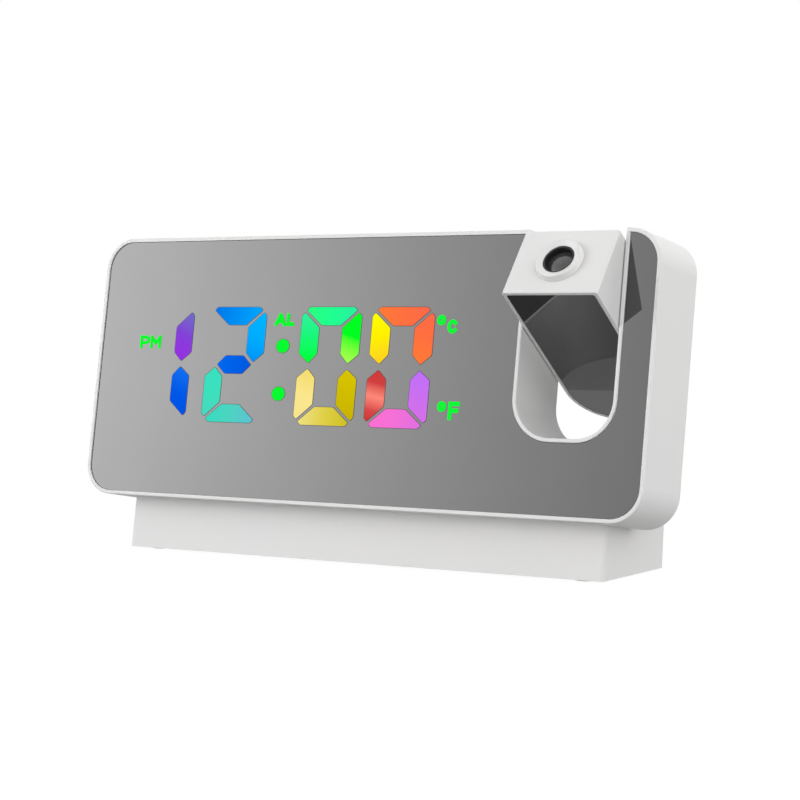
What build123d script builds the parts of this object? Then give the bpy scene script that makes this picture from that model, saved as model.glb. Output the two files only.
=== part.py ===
from build123d import *
import math
import os

# Projection alarm clock: a leaning body with a half-mirror face on a low stand,
# and a projector arm that swings through a U-shaped slot near its right end.
# Millimetres. +Z is up, -Y is the front, the clock stands on Z = 0.

# ---------------------------------------------------------------- driving sizes
# Body
BODY_WIDTH = 187.0
FACE_HEIGHT = 77.4          # along the leaning face
BODY_DEPTH = 22.4           # square to the face
CORNER_RADIUS = 9.4
LEAN = 9.75                 # degrees that the face leans back
LIP = 1.1                   # white rim seen round the mirror and the slot
WALL = 1.8
FLANGE = 1.2                # land inside the wall that the mirror is glued to
FLANGE_THICK = 1.2
REAR_ROUND = 1.2
LIP_ROUND = 0.3

# Slot for the arm, and its pivot
SLOT_INSET = 25.33          # from the body's right end to the slot's middle
SLOT_WIDTH = 29.07
SLOT_FLOOR = 21.52          # height of the slot's floor above the face's lower edge
SLOT_CORNER = 10.6
LINER_WALL = 1.6
SCOOP_LAND = 0.5            # floor left flat at the slot's front and back
PIVOT_DROP = 20.8           # pivot below the face's upper edge
PIN_RADIUS = 2.5
BUSH_RADIUS = 4.0
BUSH_FLANGE = 0.9           # how far the bush's flange stands out past its barrel
BEARING_LENGTH = 4.0
BEARING_RADIUS = 5.6

# Projector arm, measured from its pivot
ARM_TILT = 61.3             # degrees forward of the stored, upright position
ARM_ABOVE = 21.8
ARM_CORNER = 12.1
ARM_TOP_CORNER = 0.8
ARM_LIP = 1.0
ARM_WALL = 1.6
ARM_BACKING = 0.9           # wall behind the arm's mirror
ARM_EDGE_ROUND = 0.35

# Stand
STAND_INSET = 13.6          # at each end of the body
STAND_DEPTH = 35.0          # at the table
STAND_FRONT_SETBACK = 5.1   # from the face's lower edge, at the table
STAND_BACK_LEAN = 5.9       # degrees
STAND_WALL = 2.0
STAND_ROUND = 0.8
FACE_RISE = 15.95           # height of the face's lower edge above the stand's foot
FOOT_STANDOUT = 0.6         # rubber feet below the stand
FOOT_RADIUS = 4.0
FOOT_SEAT = 0.7
STAND_COVER_THICK = 1.8
STAND_SCREW_X = 25.9        # in from each end of the stand
STAND_SCREW_DEPTH = 14.5    # behind the face
CELL_X = -22.0
CELL_RADIUS = 10.0
CELL_THICK = 3.2

# Mirror and display stack
MIRROR_THICK = 1.8
MIRROR_RECESS = 0.4
FILM_THICK = 0.25
DISPLAY_WIDTH = 117.2       # light box and display board
DISPLAY_SHIFT = 1.8         # to the left of the middle of the space beside the slot
LIGHT_BOX_THICK = 4.9
LIGHT_BOX_MARGIN = 2.0      # above and below the digits
BOARD_THICK = 1.6
DIGIT_WIDTH = 20.5
DIGIT_HEIGHT = 33.7
DIGIT_RISE = 0.9            # digits' middle above the face's middle
DIGIT_SIDE_BAR = 6.2
DIGIT_CROSS_BAR = 5.2
DIGIT_PITCH = 24.2
TENS_PITCH = 26.55          # from the hours' first digit to their second
DIGIT_GAP = 0.9             # between neighbouring segments
DIGIT_BEVEL = 2.6           # cut corner of a digit
HOURS_X = -20.07            # hours' second digit, from the display's middle
MINUTES_X = 13.08           # minutes' first digit
COLON_RADIUS = 2.2
COLON_SPREAD = 13.8
COLON_DROP = 1.3            # colon below the digits' middle
UNITS_X = 51.9              # sign for degrees Celsius, from the display's middle
CELSIUS_RISE = 12.0         # above the digits' middle
FAHRENHEIT_SHIFT = 2.3      # sign for degrees Fahrenheit, from the other
FAHRENHEIT_DROP = 11.6
ALARM_SHIFT = 0.1          # alarm's sign, from the colon
ALARM_RISE = 13.1
PM_SHIFT = 5.5              # afternoon's sign, from the first digit
PM_RISE = 6.4
WELL_DRAFT = 7.0            # degrees that a light well narrows towards its lamp
DIFFUSER_THICK = 1.2
LAMP_LENGTH = 2.0
LAMP_WIDTH = 1.25
LAMP_HEIGHT = 0.8

# Keys
KEY_RADIUS = 3.3
KEY_PITCH = 17.0
KEY_FIRST_X = -38.25        # from the display's middle
KEY_ROW_DROP = 15.4         # below the face's upper edge
KEY_STANDOUT = 0.8
KEY_TRAVEL = 0.5
SNOOZE_LENGTH = 56.0
SNOOZE_WIDTH = 9.6
SNOOZE_DEPTH = 12.2         # depth of the bar's middle behind the face
SNOOZE_STANDOUT = 0.8
SWITCH_SIZE = 6.0
SWITCH_HEIGHT = 3.5
SWITCH_PLUNGER = 0.9
KEY_FLANGE = 0.9
COVER_THICK = 2.0

# Lens and lamp of the projector, along the arm
RING_RADIUS = 6.8           # at the foot of the ring
RING_CREST = 6.3            # radius of its highest edge
RING_HOLE = 4.5
RING_STANDOUT = 1.85
RING_DISH = 0.75            # hole's edge below the crest
RING_NECK = 5.6
LENS_RADIUS = 4.15
LENS_CELL_LENGTH = 9.1
LENS_SINK = 0.2             # top of the lens cell below the edge of the ring's hole
FOCUS_TRAVEL = 1.0          # each way
LAMP_HOUSE_RADIUS = 6.5
LAMP_HOUSE_BORE = 5.3

# Clearances
PLAY = 0.1                  # between parts fixed to each other
RUNNING = 0.05              # radial, pins in their bushes
ARM_SIDE_GAP = 0.4
ARM_FACE_GAP = 0.85         # arm faces inside the body's front and back
ARM_FLOOR_GAP = 0.38
KEY_GAP = 0.2
PRESS_GAP = 0.05            # left over when a key is pressed home

# ---------------------------------------------------------------- derived places
slot_x = BODY_WIDTH / 2 - SLOT_INSET
slot_left = slot_x - SLOT_WIDTH / 2
display_x = (slot_left - BODY_WIDTH / 2) / 2 - DISPLAY_SHIFT
digit_middle = FACE_HEIGHT / 2 + DIGIT_RISE
pivot_rise = FACE_HEIGHT - PIVOT_DROP
key_row = FACE_HEIGHT - KEY_ROW_DROP
lean = math.radians(LEAN)
swing = math.radians(ARM_TILT - LEAN)
arm_width = SLOT_WIDTH - 2 * ARM_SIDE_GAP
arm_thick = BODY_DEPTH - 2 * ARM_FACE_GAP
arm_below = pivot_rise - SLOT_FLOOR - ARM_FLOOR_GAP
mirror_seat = MIRROR_RECESS + MIRROR_THICK
flange_back = mirror_seat + FLANGE_THICK

# The origin lies under the middle of the clock, with the arm as it stands.
pivot_setback = pivot_rise * math.sin(lean) + BODY_DEPTH / 2 * math.cos(lean)
arm_offset = (arm_below - ARM_ABOVE) / 2 * math.sin(swing)
face_y = -(pivot_setback + arm_offset)
face_z = FACE_RISE + FOOT_STANDOUT

# face: local X to the right, local Y up the leaning face, local Z out of the front.
face = Plane(
    origin=(0, face_y, face_z),
    x_dir=(1, 0, 0),
    z_dir=(0, -math.cos(lean), math.sin(lean)),
)
pivot = face.from_local_coords(Vector(slot_x, pivot_rise, -BODY_DEPTH / 2))
# arm: origin on the pivot, local Y towards the lens, local Z out of the arm's mirror.
arm = Plane(
    origin=pivot,
    x_dir=(1, 0, 0),
    z_dir=(0, -math.cos(swing), -math.sin(swing)),
)
pivot_axis = Axis(pivot, (1, 0, 0))
os.makedirs("parts", exist_ok=True)


def behind(depth):
    """The face's plane moved back into the body."""
    return face.offset(-depth)


def body_outline(inset):
    """Rounded outline of the body, drawn in from its edge."""
    with BuildSketch() as outline:
        with Locations((0, FACE_HEIGHT / 2)):
            RectangleRounded(
                BODY_WIDTH - 2 * inset,
                FACE_HEIGHT - 2 * inset,
                CORNER_RADIUS - inset,
            )
    return outline.sketch


def slot_outline(grow=0.0, deepen=0.0):
    """U shape of the arm's slot, grown evenly, running out past the body's top."""
    floor = SLOT_FLOOR - grow - deepen
    top = FACE_HEIGHT + CORNER_RADIUS
    with BuildSketch() as outline:
        with Locations((slot_x, (floor + top) / 2)):
            Rectangle(SLOT_WIDTH + 2 * grow, top - floor)
        fillet(outline.vertices().group_by(Axis.Y)[0], SLOT_CORNER + grow)
    return outline.sketch


def panel_outline(gap):
    """Outline of the mirror, which fills the space inside the rim."""
    edge = LIP + gap
    with BuildSketch() as outline:
        add(body_outline(edge))
        add(slot_outline(edge), mode=Mode.SUBTRACT)
    return outline.sketch


def arm_outline(inset):
    """Outline of the projector arm: square at the lens, round at the foot."""
    half = arm_width / 2 - inset
    foot = -arm_below + inset
    top = ARM_ABOVE - inset
    with BuildSketch() as outline:
        with Locations((0, (foot + top) / 2)):
            Rectangle(2 * half, top - foot)
        fillet(outline.vertices().group_by(Axis.Y)[0], ARM_CORNER - inset)
        fillet(outline.vertices().group_by(Axis.Y)[-1], ARM_TOP_CORNER)
    return outline.sketch


def pan_screws(plane, spots, shank, length, head, head_height):
    """A set of pan-head screws standing on a plane, heads out along its Z."""
    with BuildPart() as screws:
        with BuildSketch(plane):
            with Locations(*spots):
                Circle(shank)
        extrude(amount=-length)
        with BuildSketch(plane):
            with Locations(*spots):
                Circle(head)
        extrude(amount=head_height)
        with BuildSketch(plane.offset(head_height)):
            with Locations(*spots):
                Rectangle(1.3 * head, 0.3 * head)
                Rectangle(0.3 * head, 1.3 * head)
        extrude(amount=-head_height / 2, mode=Mode.SUBTRACT)
    return screws


# ---------------------------------------------------------------- front housing
# One moulding: rim, walls, the land for the mirror, the liner of the arm's slot
# with its hollowed floor, the bearings, and the posts for the screws.
POST_RADIUS = 2.9
PILOT_RADIUS = 1.15
POST_INSET = 6.0            # of the rear cover's screws, from the body's edges
BOARD_POST_RADIUS = 2.2
RIB = 1.2
STAND_POST_HEIGHT = 10.0
PILOT_FLOOR = 1.0           # left at the bottom of a blind hole
arm_sweep = math.hypot(BODY_DEPTH / 2 - SCOOP_LAND, pivot_rise - SLOT_FLOOR)
scoop = arm_sweep - (pivot_rise - SLOT_FLOOR)
cover_face = BODY_DEPTH - COVER_THICK
board_front = mirror_seat + FILM_THICK + LIGHT_BOX_THICK
board_back = board_front + BOARD_THICK
BOARD_POST_GAP = 0.6        # from the board to the rear cover's posts
BOARD_SCREW_INSET = 3.0
board_low = POST_INSET + POST_RADIUS + BOARD_POST_GAP
board_high = FACE_HEIGHT - board_low
cover_posts = [
    (x, y)
    for x in (
        POST_INSET - BODY_WIDTH / 2,
        slot_left - LINER_WALL - 2 * POST_RADIUS,
        BODY_WIDTH / 2 - POST_INSET,
    )
    for y in (POST_INSET, FACE_HEIGHT - POST_INSET)
]
board_posts = [
    (display_x + side * (DISPLAY_WIDTH / 2 - BOARD_SCREW_INSET), y)
    for side in (-1, 1)
    for y in (board_low + BOARD_SCREW_INSET, board_high - BOARD_SCREW_INSET)
]
stand_end = BODY_WIDTH / 2 - STAND_INSET
stand_screw_spots = [
    (STAND_SCREW_X - stand_end, 0),
    (0, 0),
    (stand_end - STAND_SCREW_X, 0),
]
# way for the cell's lead, up through the stand's top and the body's lower wall
LEAD_HOLE = 1.5
LEAD_CLIMB = 10.0
LEAD_SETBACK = 16.0         # from the face's lower edge to the hole
LEAD_HOLE_DROP = 8.0        # start of the hole, below that edge
lead_spot = (CELL_X, face_y + LEAD_SETBACK)
lead_level = Plane.XY.offset(face_z - LEAD_HOLE_DROP)
# underside: on the body's lower wall, facing down, in line with the stand's screws
underside = Plane(
    origin=face.from_local_coords(Vector(0, 0, -STAND_SCREW_DEPTH)),
    x_dir=(1, 0, 0),
    z_dir=-face.y_dir,
)
# on the body's upper wall, over the snooze bar
snooze_top = Plane(
    origin=face.from_local_coords(Vector(display_x, FACE_HEIGHT, -SNOOZE_DEPTH)),
    x_dir=(1, 0, 0),
    z_dir=face.y_dir,
)
pivot_upright = Plane(origin=pivot, x_dir=(1, 0, 0), z_dir=face.z_dir)


def wall_ribs(posts):
    """Upright ribs that tie posts to the body's upper or lower wall."""
    with BuildSketch() as ribs:
        for x, y in posts:
            wall_y = WALL / 2 if y < FACE_HEIGHT / 2 else FACE_HEIGHT - WALL / 2
            with Locations((x, (y + wall_y) / 2)):
                Rectangle(RIB, abs(wall_y - y))
    return ribs.sketch


def slot_side(side, out=0.0):
    """Plane on a side wall of the slot, centred on the pivot, facing away from the arm."""
    reach = SLOT_WIDTH / 2 + out
    return Plane(
        origin=pivot + Vector(side * reach, 0, 0),
        x_dir=face.y_dir,
        z_dir=(side, 0, 0),
    )


with BuildPart() as front_housing:
    with BuildSketch(face):
        add(body_outline(0))
    extrude(amount=-BODY_DEPTH)
    body_faces = front_housing.faces().sort_by(Axis(face.origin, face.z_dir))
    fillet(body_faces[0].edges(), REAR_ROUND)
    fillet(body_faces[-1].edges(), LIP_ROUND)
    # hollow from the back, the opening inside the mirror's land, and the mirror's seat
    with BuildSketch(behind(flange_back)):
        add(body_outline(WALL))
    extrude(amount=flange_back - BODY_DEPTH, mode=Mode.SUBTRACT)
    with BuildSketch(behind(mirror_seat)):
        add(body_outline(WALL + FLANGE))
    extrude(amount=-FLANGE_THICK, mode=Mode.SUBTRACT)
    with BuildSketch(face):
        add(body_outline(LIP))
    extrude(amount=-mirror_seat, mode=Mode.SUBTRACT)
    # liner of the slot, with the mirror's seat round it
    with BuildSketch(behind(mirror_seat)):
        add(slot_outline(LINER_WALL, deepen=scoop))
        add(body_outline(REAR_ROUND), mode=Mode.INTERSECT)
    extrude(amount=mirror_seat - BODY_DEPTH)
    with BuildSketch(face):
        add(slot_outline(LIP))
        add(body_outline(0), mode=Mode.INTERSECT)
    extrude(amount=-mirror_seat)
    # posts: for the rear cover, for the display board and for the stand
    with BuildSketch(behind(flange_back)):
        with Locations(*cover_posts):
            Circle(POST_RADIUS)
        add(wall_ribs(cover_posts))
    extrude(amount=flange_back - cover_face)
    with BuildSketch(behind(mirror_seat)):
        with Locations(*board_posts):
            Circle(BOARD_POST_RADIUS)
        add(wall_ribs(board_posts))
    extrude(amount=mirror_seat - board_front)
    with BuildSketch(underside):
        with Locations(*stand_screw_spots):
            Circle(POST_RADIUS)
    extrude(amount=-STAND_POST_HEIGHT)
    # bearings on the slot's side walls
    for side in (-1, 1):
        with BuildSketch(slot_side(side)):
            Circle(BEARING_RADIUS)
        extrude(amount=LINER_WALL + BEARING_LENGTH)
    # the slot itself, and the hollow that the arm's foot sweeps through
    with BuildSketch(face):
        add(slot_outline())
    extrude(amount=-BODY_DEPTH, mode=Mode.SUBTRACT)
    rim = front_housing.faces().sort_by(Axis(face.origin, face.z_dir))[-1]
    slot_half = SLOT_WIDTH / 2 + PLAY
    slot_rim = rim.edges().filter_by_position(
        Axis.X, slot_x - slot_half, slot_x + slot_half
    )
    fillet(slot_rim, LIP_ROUND)
    with BuildSketch(pivot_upright):
        with Locations((0, -arm_sweep / 2)):
            floor_profile = Rectangle(SLOT_WIDTH, arm_sweep)
        fillet(floor_profile.vertices().group_by(Axis(pivot, face.y_dir))[0], SLOT_CORNER)
    revolve(axis=pivot_axis, mode=Mode.SUBTRACT)
    # holes
    with BuildSketch(behind(cover_face)):
        with Locations(*cover_posts):
            Circle(PILOT_RADIUS)
    extrude(amount=cover_face - flange_back, mode=Mode.SUBTRACT)
    with BuildSketch(behind(board_front)):
        with Locations(*board_posts):
            Circle(PILOT_RADIUS)
    extrude(amount=LIGHT_BOX_THICK / 2, mode=Mode.SUBTRACT)
    with BuildSketch(underside):
        with Locations(*stand_screw_spots):
            Circle(PILOT_RADIUS)
    extrude(amount=PILOT_FLOOR - STAND_POST_HEIGHT, mode=Mode.SUBTRACT)
    for side in (-1, 1):
        with BuildSketch(slot_side(side)):
            Circle(BUSH_RADIUS + RUNNING)
        extrude(amount=LINER_WALL + BEARING_LENGTH, mode=Mode.SUBTRACT)
    with BuildSketch(snooze_top):
        SlotOverall(SNOOZE_LENGTH + 2 * KEY_GAP, SNOOZE_WIDTH + 2 * KEY_GAP)
    extrude(amount=-2 * WALL, mode=Mode.SUBTRACT)
    with BuildSketch(lead_level):
        with Locations(lead_spot):
            Circle(LEAD_HOLE)
    extrude(amount=LEAD_CLIMB, mode=Mode.SUBTRACT)
front_housing.part.label = "front_housing"
export_step(front_housing.part, "parts/front_housing.step")


# ---------------------------------------------------------------- mirror and film
FILM_MARGIN = 0.6           # film past the light box, all round

with BuildPart() as mirror_panel:
    with BuildSketch(behind(MIRROR_RECESS)):
        add(panel_outline(PLAY))
    extrude(amount=-MIRROR_THICK)
mirror_panel.part.label = "mirror_panel"
export_step(mirror_panel.part, "parts/mirror_panel.step")

light_box_height = DIGIT_HEIGHT + 2 * LIGHT_BOX_MARGIN

with BuildPart() as display_film:
    with BuildSketch(behind(mirror_seat)):
        with Locations((display_x, digit_middle)):
            Rectangle(
                DISPLAY_WIDTH + 2 * FILM_MARGIN,
                light_box_height + 2 * FILM_MARGIN,
            )
    extrude(amount=-FILM_THICK)
display_film.part.label = "display_film"
export_step(display_film.part, "parts/display_film.step")

# ---------------------------------------------------------------- light box
# Thirty-three wells, one for each bar, dot and sign, narrowing towards the lamps.
BAR_TIP = 3.6               # point of an upright bar, from the digit's side
BAR_POINT = 2.75            # height of that point
HALF_WIDTH = DIGIT_WIDTH / 2
HALF_HEIGHT = DIGIT_HEIGHT / 2
LEAD_IN = 0.5               # middle bar's point, short of the uprights' points


def bar_corners(name):
    """Corners of one bar of a digit, about the digit's middle."""
    cut = DIGIT_BEVEL / 2
    slip = DIGIT_GAP / 2 * math.sqrt(0.5)
    inner_x = HALF_WIDTH - DIGIT_SIDE_BAR
    inner_y = HALF_HEIGHT - DIGIT_CROSS_BAR
    upright = [
        (HALF_WIDTH - cut + slip, HALF_HEIGHT - cut - slip),
        (HALF_WIDTH, HALF_HEIGHT - DIGIT_BEVEL),
        (HALF_WIDTH, BAR_POINT + DIGIT_GAP),
        (HALF_WIDTH - BAR_TIP, DIGIT_GAP),
        (inner_x, BAR_POINT + DIGIT_GAP),
        (inner_x, inner_y - DIGIT_GAP * math.sqrt(0.5)),
    ]
    level = [
        (HALF_WIDTH - DIGIT_BEVEL, HALF_HEIGHT),
        (HALF_WIDTH - cut - slip, HALF_HEIGHT - cut + slip),
        (inner_x - DIGIT_GAP, inner_y),
    ]
    if name == "g":
        right = [
            (inner_x - DIGIT_GAP, DIGIT_CROSS_BAR / 2),
            (HALF_WIDTH - BAR_TIP - LEAD_IN, 0),
            (inner_x - DIGIT_GAP, -DIGIT_CROSS_BAR / 2),
        ]
        return right + [(-x, -y) for x, y in right]
    if name in "ad":
        corners = level + [(-x, y) for x, y in reversed(level)]
        return corners if name == "a" else [(x, -y) for x, y in corners]
    flip_x = -1 if name in "ef" else 1
    flip_y = -1 if name in "ce" else 1
    return [(flip_x * x, flip_y * y) for x, y in upright]


# every lit shape: (middle on the face, its corners about that middle)
hours_x = display_x + HOURS_X
minutes_x = display_x + MINUTES_X
tens_x = hours_x - TENS_PITCH
units_x = minutes_x + DIGIT_PITCH
bars = [((tens_x, digit_middle), bar_corners(name)) for name in "abcdeg"]
for digit_x in (hours_x, minutes_x, units_x):
    bars += [((digit_x, digit_middle), bar_corners(name)) for name in "abcdefg"]
colon_x = (hours_x + minutes_x) / 2
colon_dots = [
    (colon_x, digit_middle - COLON_DROP + COLON_SPREAD / 2),
    (colon_x, digit_middle - COLON_DROP - COLON_SPREAD / 2),
]
PM_SIZE = (7.8, 3.9)
ALARM_SIZE = (7.0, 3.9)
UNIT_SIZE = (7.1, 5.6)
signs = [
    ((tens_x - PM_SHIFT, digit_middle + PM_RISE), PM_SIZE),
    ((colon_x + ALARM_SHIFT, digit_middle + ALARM_RISE), ALARM_SIZE),
    ((display_x + UNITS_X, digit_middle + CELSIUS_RISE), UNIT_SIZE),
    (
        (display_x + UNITS_X + FAHRENHEIT_SHIFT, digit_middle - FAHRENHEIT_DROP),
        UNIT_SIZE,
    ),
]


def lit_shapes(shrink=0.0):
    """Outlines of everything that lights up, drawn in from their edges."""
    with BuildSketch() as shapes:
        for spot, corners in bars:
            with Locations(spot):
                Polygon(*corners, align=None)
        with Locations(*colon_dots):
            Circle(COLON_RADIUS)
        for spot, (width, height) in signs:
            with Locations(spot):
                Rectangle(width, height)
        if shrink:
            offset(amount=-shrink, kind=Kind.INTERSECTION)
    return shapes.sketch


with BuildPart() as light_box:
    with BuildSketch(behind(mirror_seat + FILM_THICK)):
        with Locations((display_x, digit_middle)):
            Rectangle(DISPLAY_WIDTH, light_box_height)
    extrude(amount=-LIGHT_BOX_THICK)
    with BuildSketch(behind(mirror_seat + FILM_THICK)):
        add(lit_shapes())
    extrude(amount=-LIGHT_BOX_THICK, taper=WELL_DRAFT, mode=Mode.SUBTRACT)
light_box.part.label = "light_box"
export_step(light_box.part, "parts/light_box.step")

with BuildPart() as segment_diffusers:
    with BuildSketch(behind(mirror_seat + FILM_THICK)):
        add(lit_shapes(PLAY))
    extrude(amount=-DIFFUSER_THICK, taper=WELL_DRAFT)
segment_diffusers.part.label = "segment_diffusers"
export_step(segment_diffusers.part, "parts/segment_diffusers.step")

# ---------------------------------------------------------------- display board
BOARD_HOLE_RADIUS = 1.4
SCREW_SHANK = 1.1
SCREW_HEAD = 2.3
SCREW_HEAD_HEIGHT = 1.4
CHIP_SIZE = 10.0
CHIP_THICK = 1.6
CHIP_BEVEL = 0.2
CHIP_X = -8.25              # from the display's middle
CHIP_RISE = 30.0
CONNECTOR_SIZE = (5.0, 8.0)
CONNECTOR_INSET = 1.0       # from the board's right edge
LEAD_RADIUS = 0.9
PILOT_SPARE = 1.0           # hole left past a screw's tip
connector_end = display_x + DISPLAY_WIDTH / 2 - CONNECTOR_INSET
connector_height = BODY_DEPTH / 2 + LEAD_RADIUS + PLAY - board_back

with BuildPart() as display_board:
    with BuildSketch(behind(board_front)):
        with Locations((display_x, FACE_HEIGHT / 2)):
            Rectangle(DISPLAY_WIDTH, board_high - board_low)
        with Locations(*board_posts):
            Circle(BOARD_HOLE_RADIUS, mode=Mode.SUBTRACT)
    extrude(amount=-BOARD_THICK)
display_board.part.label = "display_board"
export_step(display_board.part, "parts/display_board.step")

with BuildPart() as display_lamps:
    with BuildSketch(behind(board_front)):
        for (x, y), corners in bars:
            middle_x = sum(corner[0] for corner in corners) / len(corners)
            middle_y = sum(corner[1] for corner in corners) / len(corners)
            with Locations((x + middle_x, y + middle_y)):
                Rectangle(LAMP_WIDTH, LAMP_LENGTH)
        with Locations(*colon_dots, *(spot for spot, size in signs)):
            Rectangle(LAMP_LENGTH, LAMP_WIDTH)
    extrude(amount=LAMP_HEIGHT)
display_lamps.part.label = "display_lamps"
export_step(display_lamps.part, "parts/display_lamps.step")

with BuildPart() as controller_chip:
    with BuildSketch(behind(board_back)):
        with Locations((display_x + CHIP_X, CHIP_RISE)):
            Rectangle(CHIP_SIZE, CHIP_SIZE)
    extrude(amount=-CHIP_THICK)
    chip_uprights = controller_chip.edges().group_by(SortBy.LENGTH)[0]
    chamfer(chip_uprights, CHIP_BEVEL)
controller_chip.part.label = "controller_chip"
export_step(controller_chip.part, "parts/controller_chip.step")

with BuildPart() as lead_connector:
    with BuildSketch(behind(board_back)):
        with Locations((connector_end - CONNECTOR_SIZE[0] / 2, pivot_rise)):
            Rectangle(*CONNECTOR_SIZE)
    extrude(amount=-connector_height)
lead_connector.part.label = "lead_connector"
export_step(lead_connector.part, "parts/lead_connector.step")

back_of_display = Plane(
    origin=behind(board_back).origin,
    x_dir=(-1, 0, 0),
    z_dir=-face.z_dir,
)
display_board_screws = pan_screws(
    back_of_display,
    [(-x, y) for x, y in board_posts],
    SCREW_SHANK,
    BOARD_THICK + LIGHT_BOX_THICK / 2 - PILOT_SPARE,
    SCREW_HEAD,
    SCREW_HEAD_HEIGHT,
)
display_board_screws.part.label = "display_board_screws"
export_step(display_board_screws.part, "parts/display_board_screws.step")

# ---------------------------------------------------------------- key board
KEY_BOARD_WIDTH = 102.0
KEY_BOARD_HEIGHT = 17.0
KEY_BOARD_X = 0.95          # from the display's middle
KEY_BOARD_DROP = 13.9       # its middle below the face's upper edge
KEY_BOARD_SCREW_INSET = 3.2
SWITCH_PLUNGER_RADIUS = 1.75
SNOOZE_PLUNGER_RADIUS = 1.45
SOCKET_X = 42.25            # from the display's middle
SOCKET_WIDTH = 7.6
SOCKET_HEIGHT = 2.8
SOCKET_WALL = 0.4
SOCKET_SINK = 0.5           # mouth of the socket below the rear cover's outside
TONGUE_WIDTH = 4.0
TONGUE_THICK = 0.7
SNOOZE_SWITCH_THICK = 3.8
SNOOZE_SWITCH_HEIGHT = 4.6
flange_inside = cover_face - PLAY                    # a key's flange, kept in by the cover
key_end = cover_face - PLAY - KEY_FLANGE             # where a key meets its switch
switch_top = key_end - KEY_TRAVEL - PRESS_GAP
key_board_back = switch_top - SWITCH_PLUNGER - SWITCH_HEIGHT
first_key = display_x + KEY_FIRST_X
key_spots = [(first_key + KEY_PITCH * number, key_row) for number in range(5)]
key_board_spot = (display_x + KEY_BOARD_X, FACE_HEIGHT - KEY_BOARD_DROP)
key_board_posts = [
    (key_board_spot[0] + side * (KEY_BOARD_WIDTH / 2 - KEY_BOARD_SCREW_INSET),
     key_board_spot[1] + level * (KEY_BOARD_HEIGHT / 2 - KEY_BOARD_SCREW_INSET))
    for side in (-1, 1)
    for level in (-1, 1)
]
socket_spot = (display_x + SOCKET_X, key_row)
snooze_flange_low = FACE_HEIGHT - WALL - PLAY - KEY_FLANGE
snooze_plunger_top = snooze_flange_low - KEY_TRAVEL - PRESS_GAP
snooze_switch_top = snooze_plunger_top - SWITCH_PLUNGER

with BuildPart() as key_board:
    with BuildSketch(behind(key_board_back)):
        with Locations(key_board_spot):
            Rectangle(KEY_BOARD_WIDTH, KEY_BOARD_HEIGHT)
        with Locations(*key_board_posts):
            Circle(BOARD_HOLE_RADIUS, mode=Mode.SUBTRACT)
    extrude(amount=BOARD_THICK)
key_board.part.label = "key_board"
export_step(key_board.part, "parts/key_board.step")

with BuildPart() as key_switches:
    with BuildSketch(behind(key_board_back)):
        with Locations(*key_spots):
            Rectangle(SWITCH_SIZE, SWITCH_SIZE)
    extrude(amount=-SWITCH_HEIGHT)
    with BuildSketch(behind(key_board_back + SWITCH_HEIGHT)):
        with Locations(*key_spots):
            Circle(SWITCH_PLUNGER_RADIUS)
    extrude(amount=-SWITCH_PLUNGER)
key_switches.part.label = "key_switches"
export_step(key_switches.part, "parts/key_switches.step")

snooze_switch_depth = key_board_back + SNOOZE_SWITCH_THICK / 2
with BuildPart() as snooze_switch:
    with BuildSketch(behind(key_board_back)):
        with Locations((display_x, snooze_switch_top - SNOOZE_SWITCH_HEIGHT / 2)):
            Rectangle(SWITCH_SIZE, SNOOZE_SWITCH_HEIGHT)
    extrude(amount=-SNOOZE_SWITCH_THICK)
    with BuildSketch(snooze_top.offset(snooze_switch_top - FACE_HEIGHT)):
        with Locations((0, SNOOZE_DEPTH - snooze_switch_depth)):
            Circle(SNOOZE_PLUNGER_RADIUS)
    extrude(amount=SWITCH_PLUNGER)
snooze_switch.part.label = "snooze_switch"
export_step(snooze_switch.part, "parts/snooze_switch.step")

with BuildPart() as power_socket:
    with BuildSketch(behind(key_board_back)):
        with Locations(socket_spot):
            RectangleRounded(SOCKET_WIDTH, SOCKET_HEIGHT, SOCKET_WALL)
    extrude(amount=key_board_back + SOCKET_SINK - BODY_DEPTH)
    with BuildSketch(behind(key_board_back + SOCKET_HEIGHT)):
        with Locations(socket_spot):
            Rectangle(SOCKET_WIDTH - 2 * SOCKET_WALL, SOCKET_HEIGHT - 2 * SOCKET_WALL)
            Rectangle(TONGUE_WIDTH, TONGUE_THICK, mode=Mode.SUBTRACT)
    extrude(amount=key_board_back + SOCKET_HEIGHT - BODY_DEPTH, mode=Mode.SUBTRACT)
power_socket.part.label = "power_socket"
export_step(power_socket.part, "parts/power_socket.step")

key_board_screws = pan_screws(
    behind(key_board_back - BOARD_THICK),
    key_board_posts,
    SCREW_SHANK,
    BOARD_THICK + SWITCH_HEIGHT,
    SCREW_HEAD,
    SCREW_HEAD_HEIGHT,
)
key_board_screws.part.label = "key_board_screws"
export_step(key_board_screws.part, "parts/key_board_screws.step")

# ---------------------------------------------------------------- rear cover
BUZZER_X = 31.5             # in from the body's left end
BUZZER_RISE = 30.0
BUZZER_RADIUS = 6.0
BUZZER_HEIGHT = 6.5
BUZZER_ROUND = 0.5
VENT_RADIUS = 0.8
VENT_RING = 3.2
COVER_SCREW_SINK = 1.1
buzzer_spot = (BUZZER_X - BODY_WIDTH / 2, BUZZER_RISE)

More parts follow.
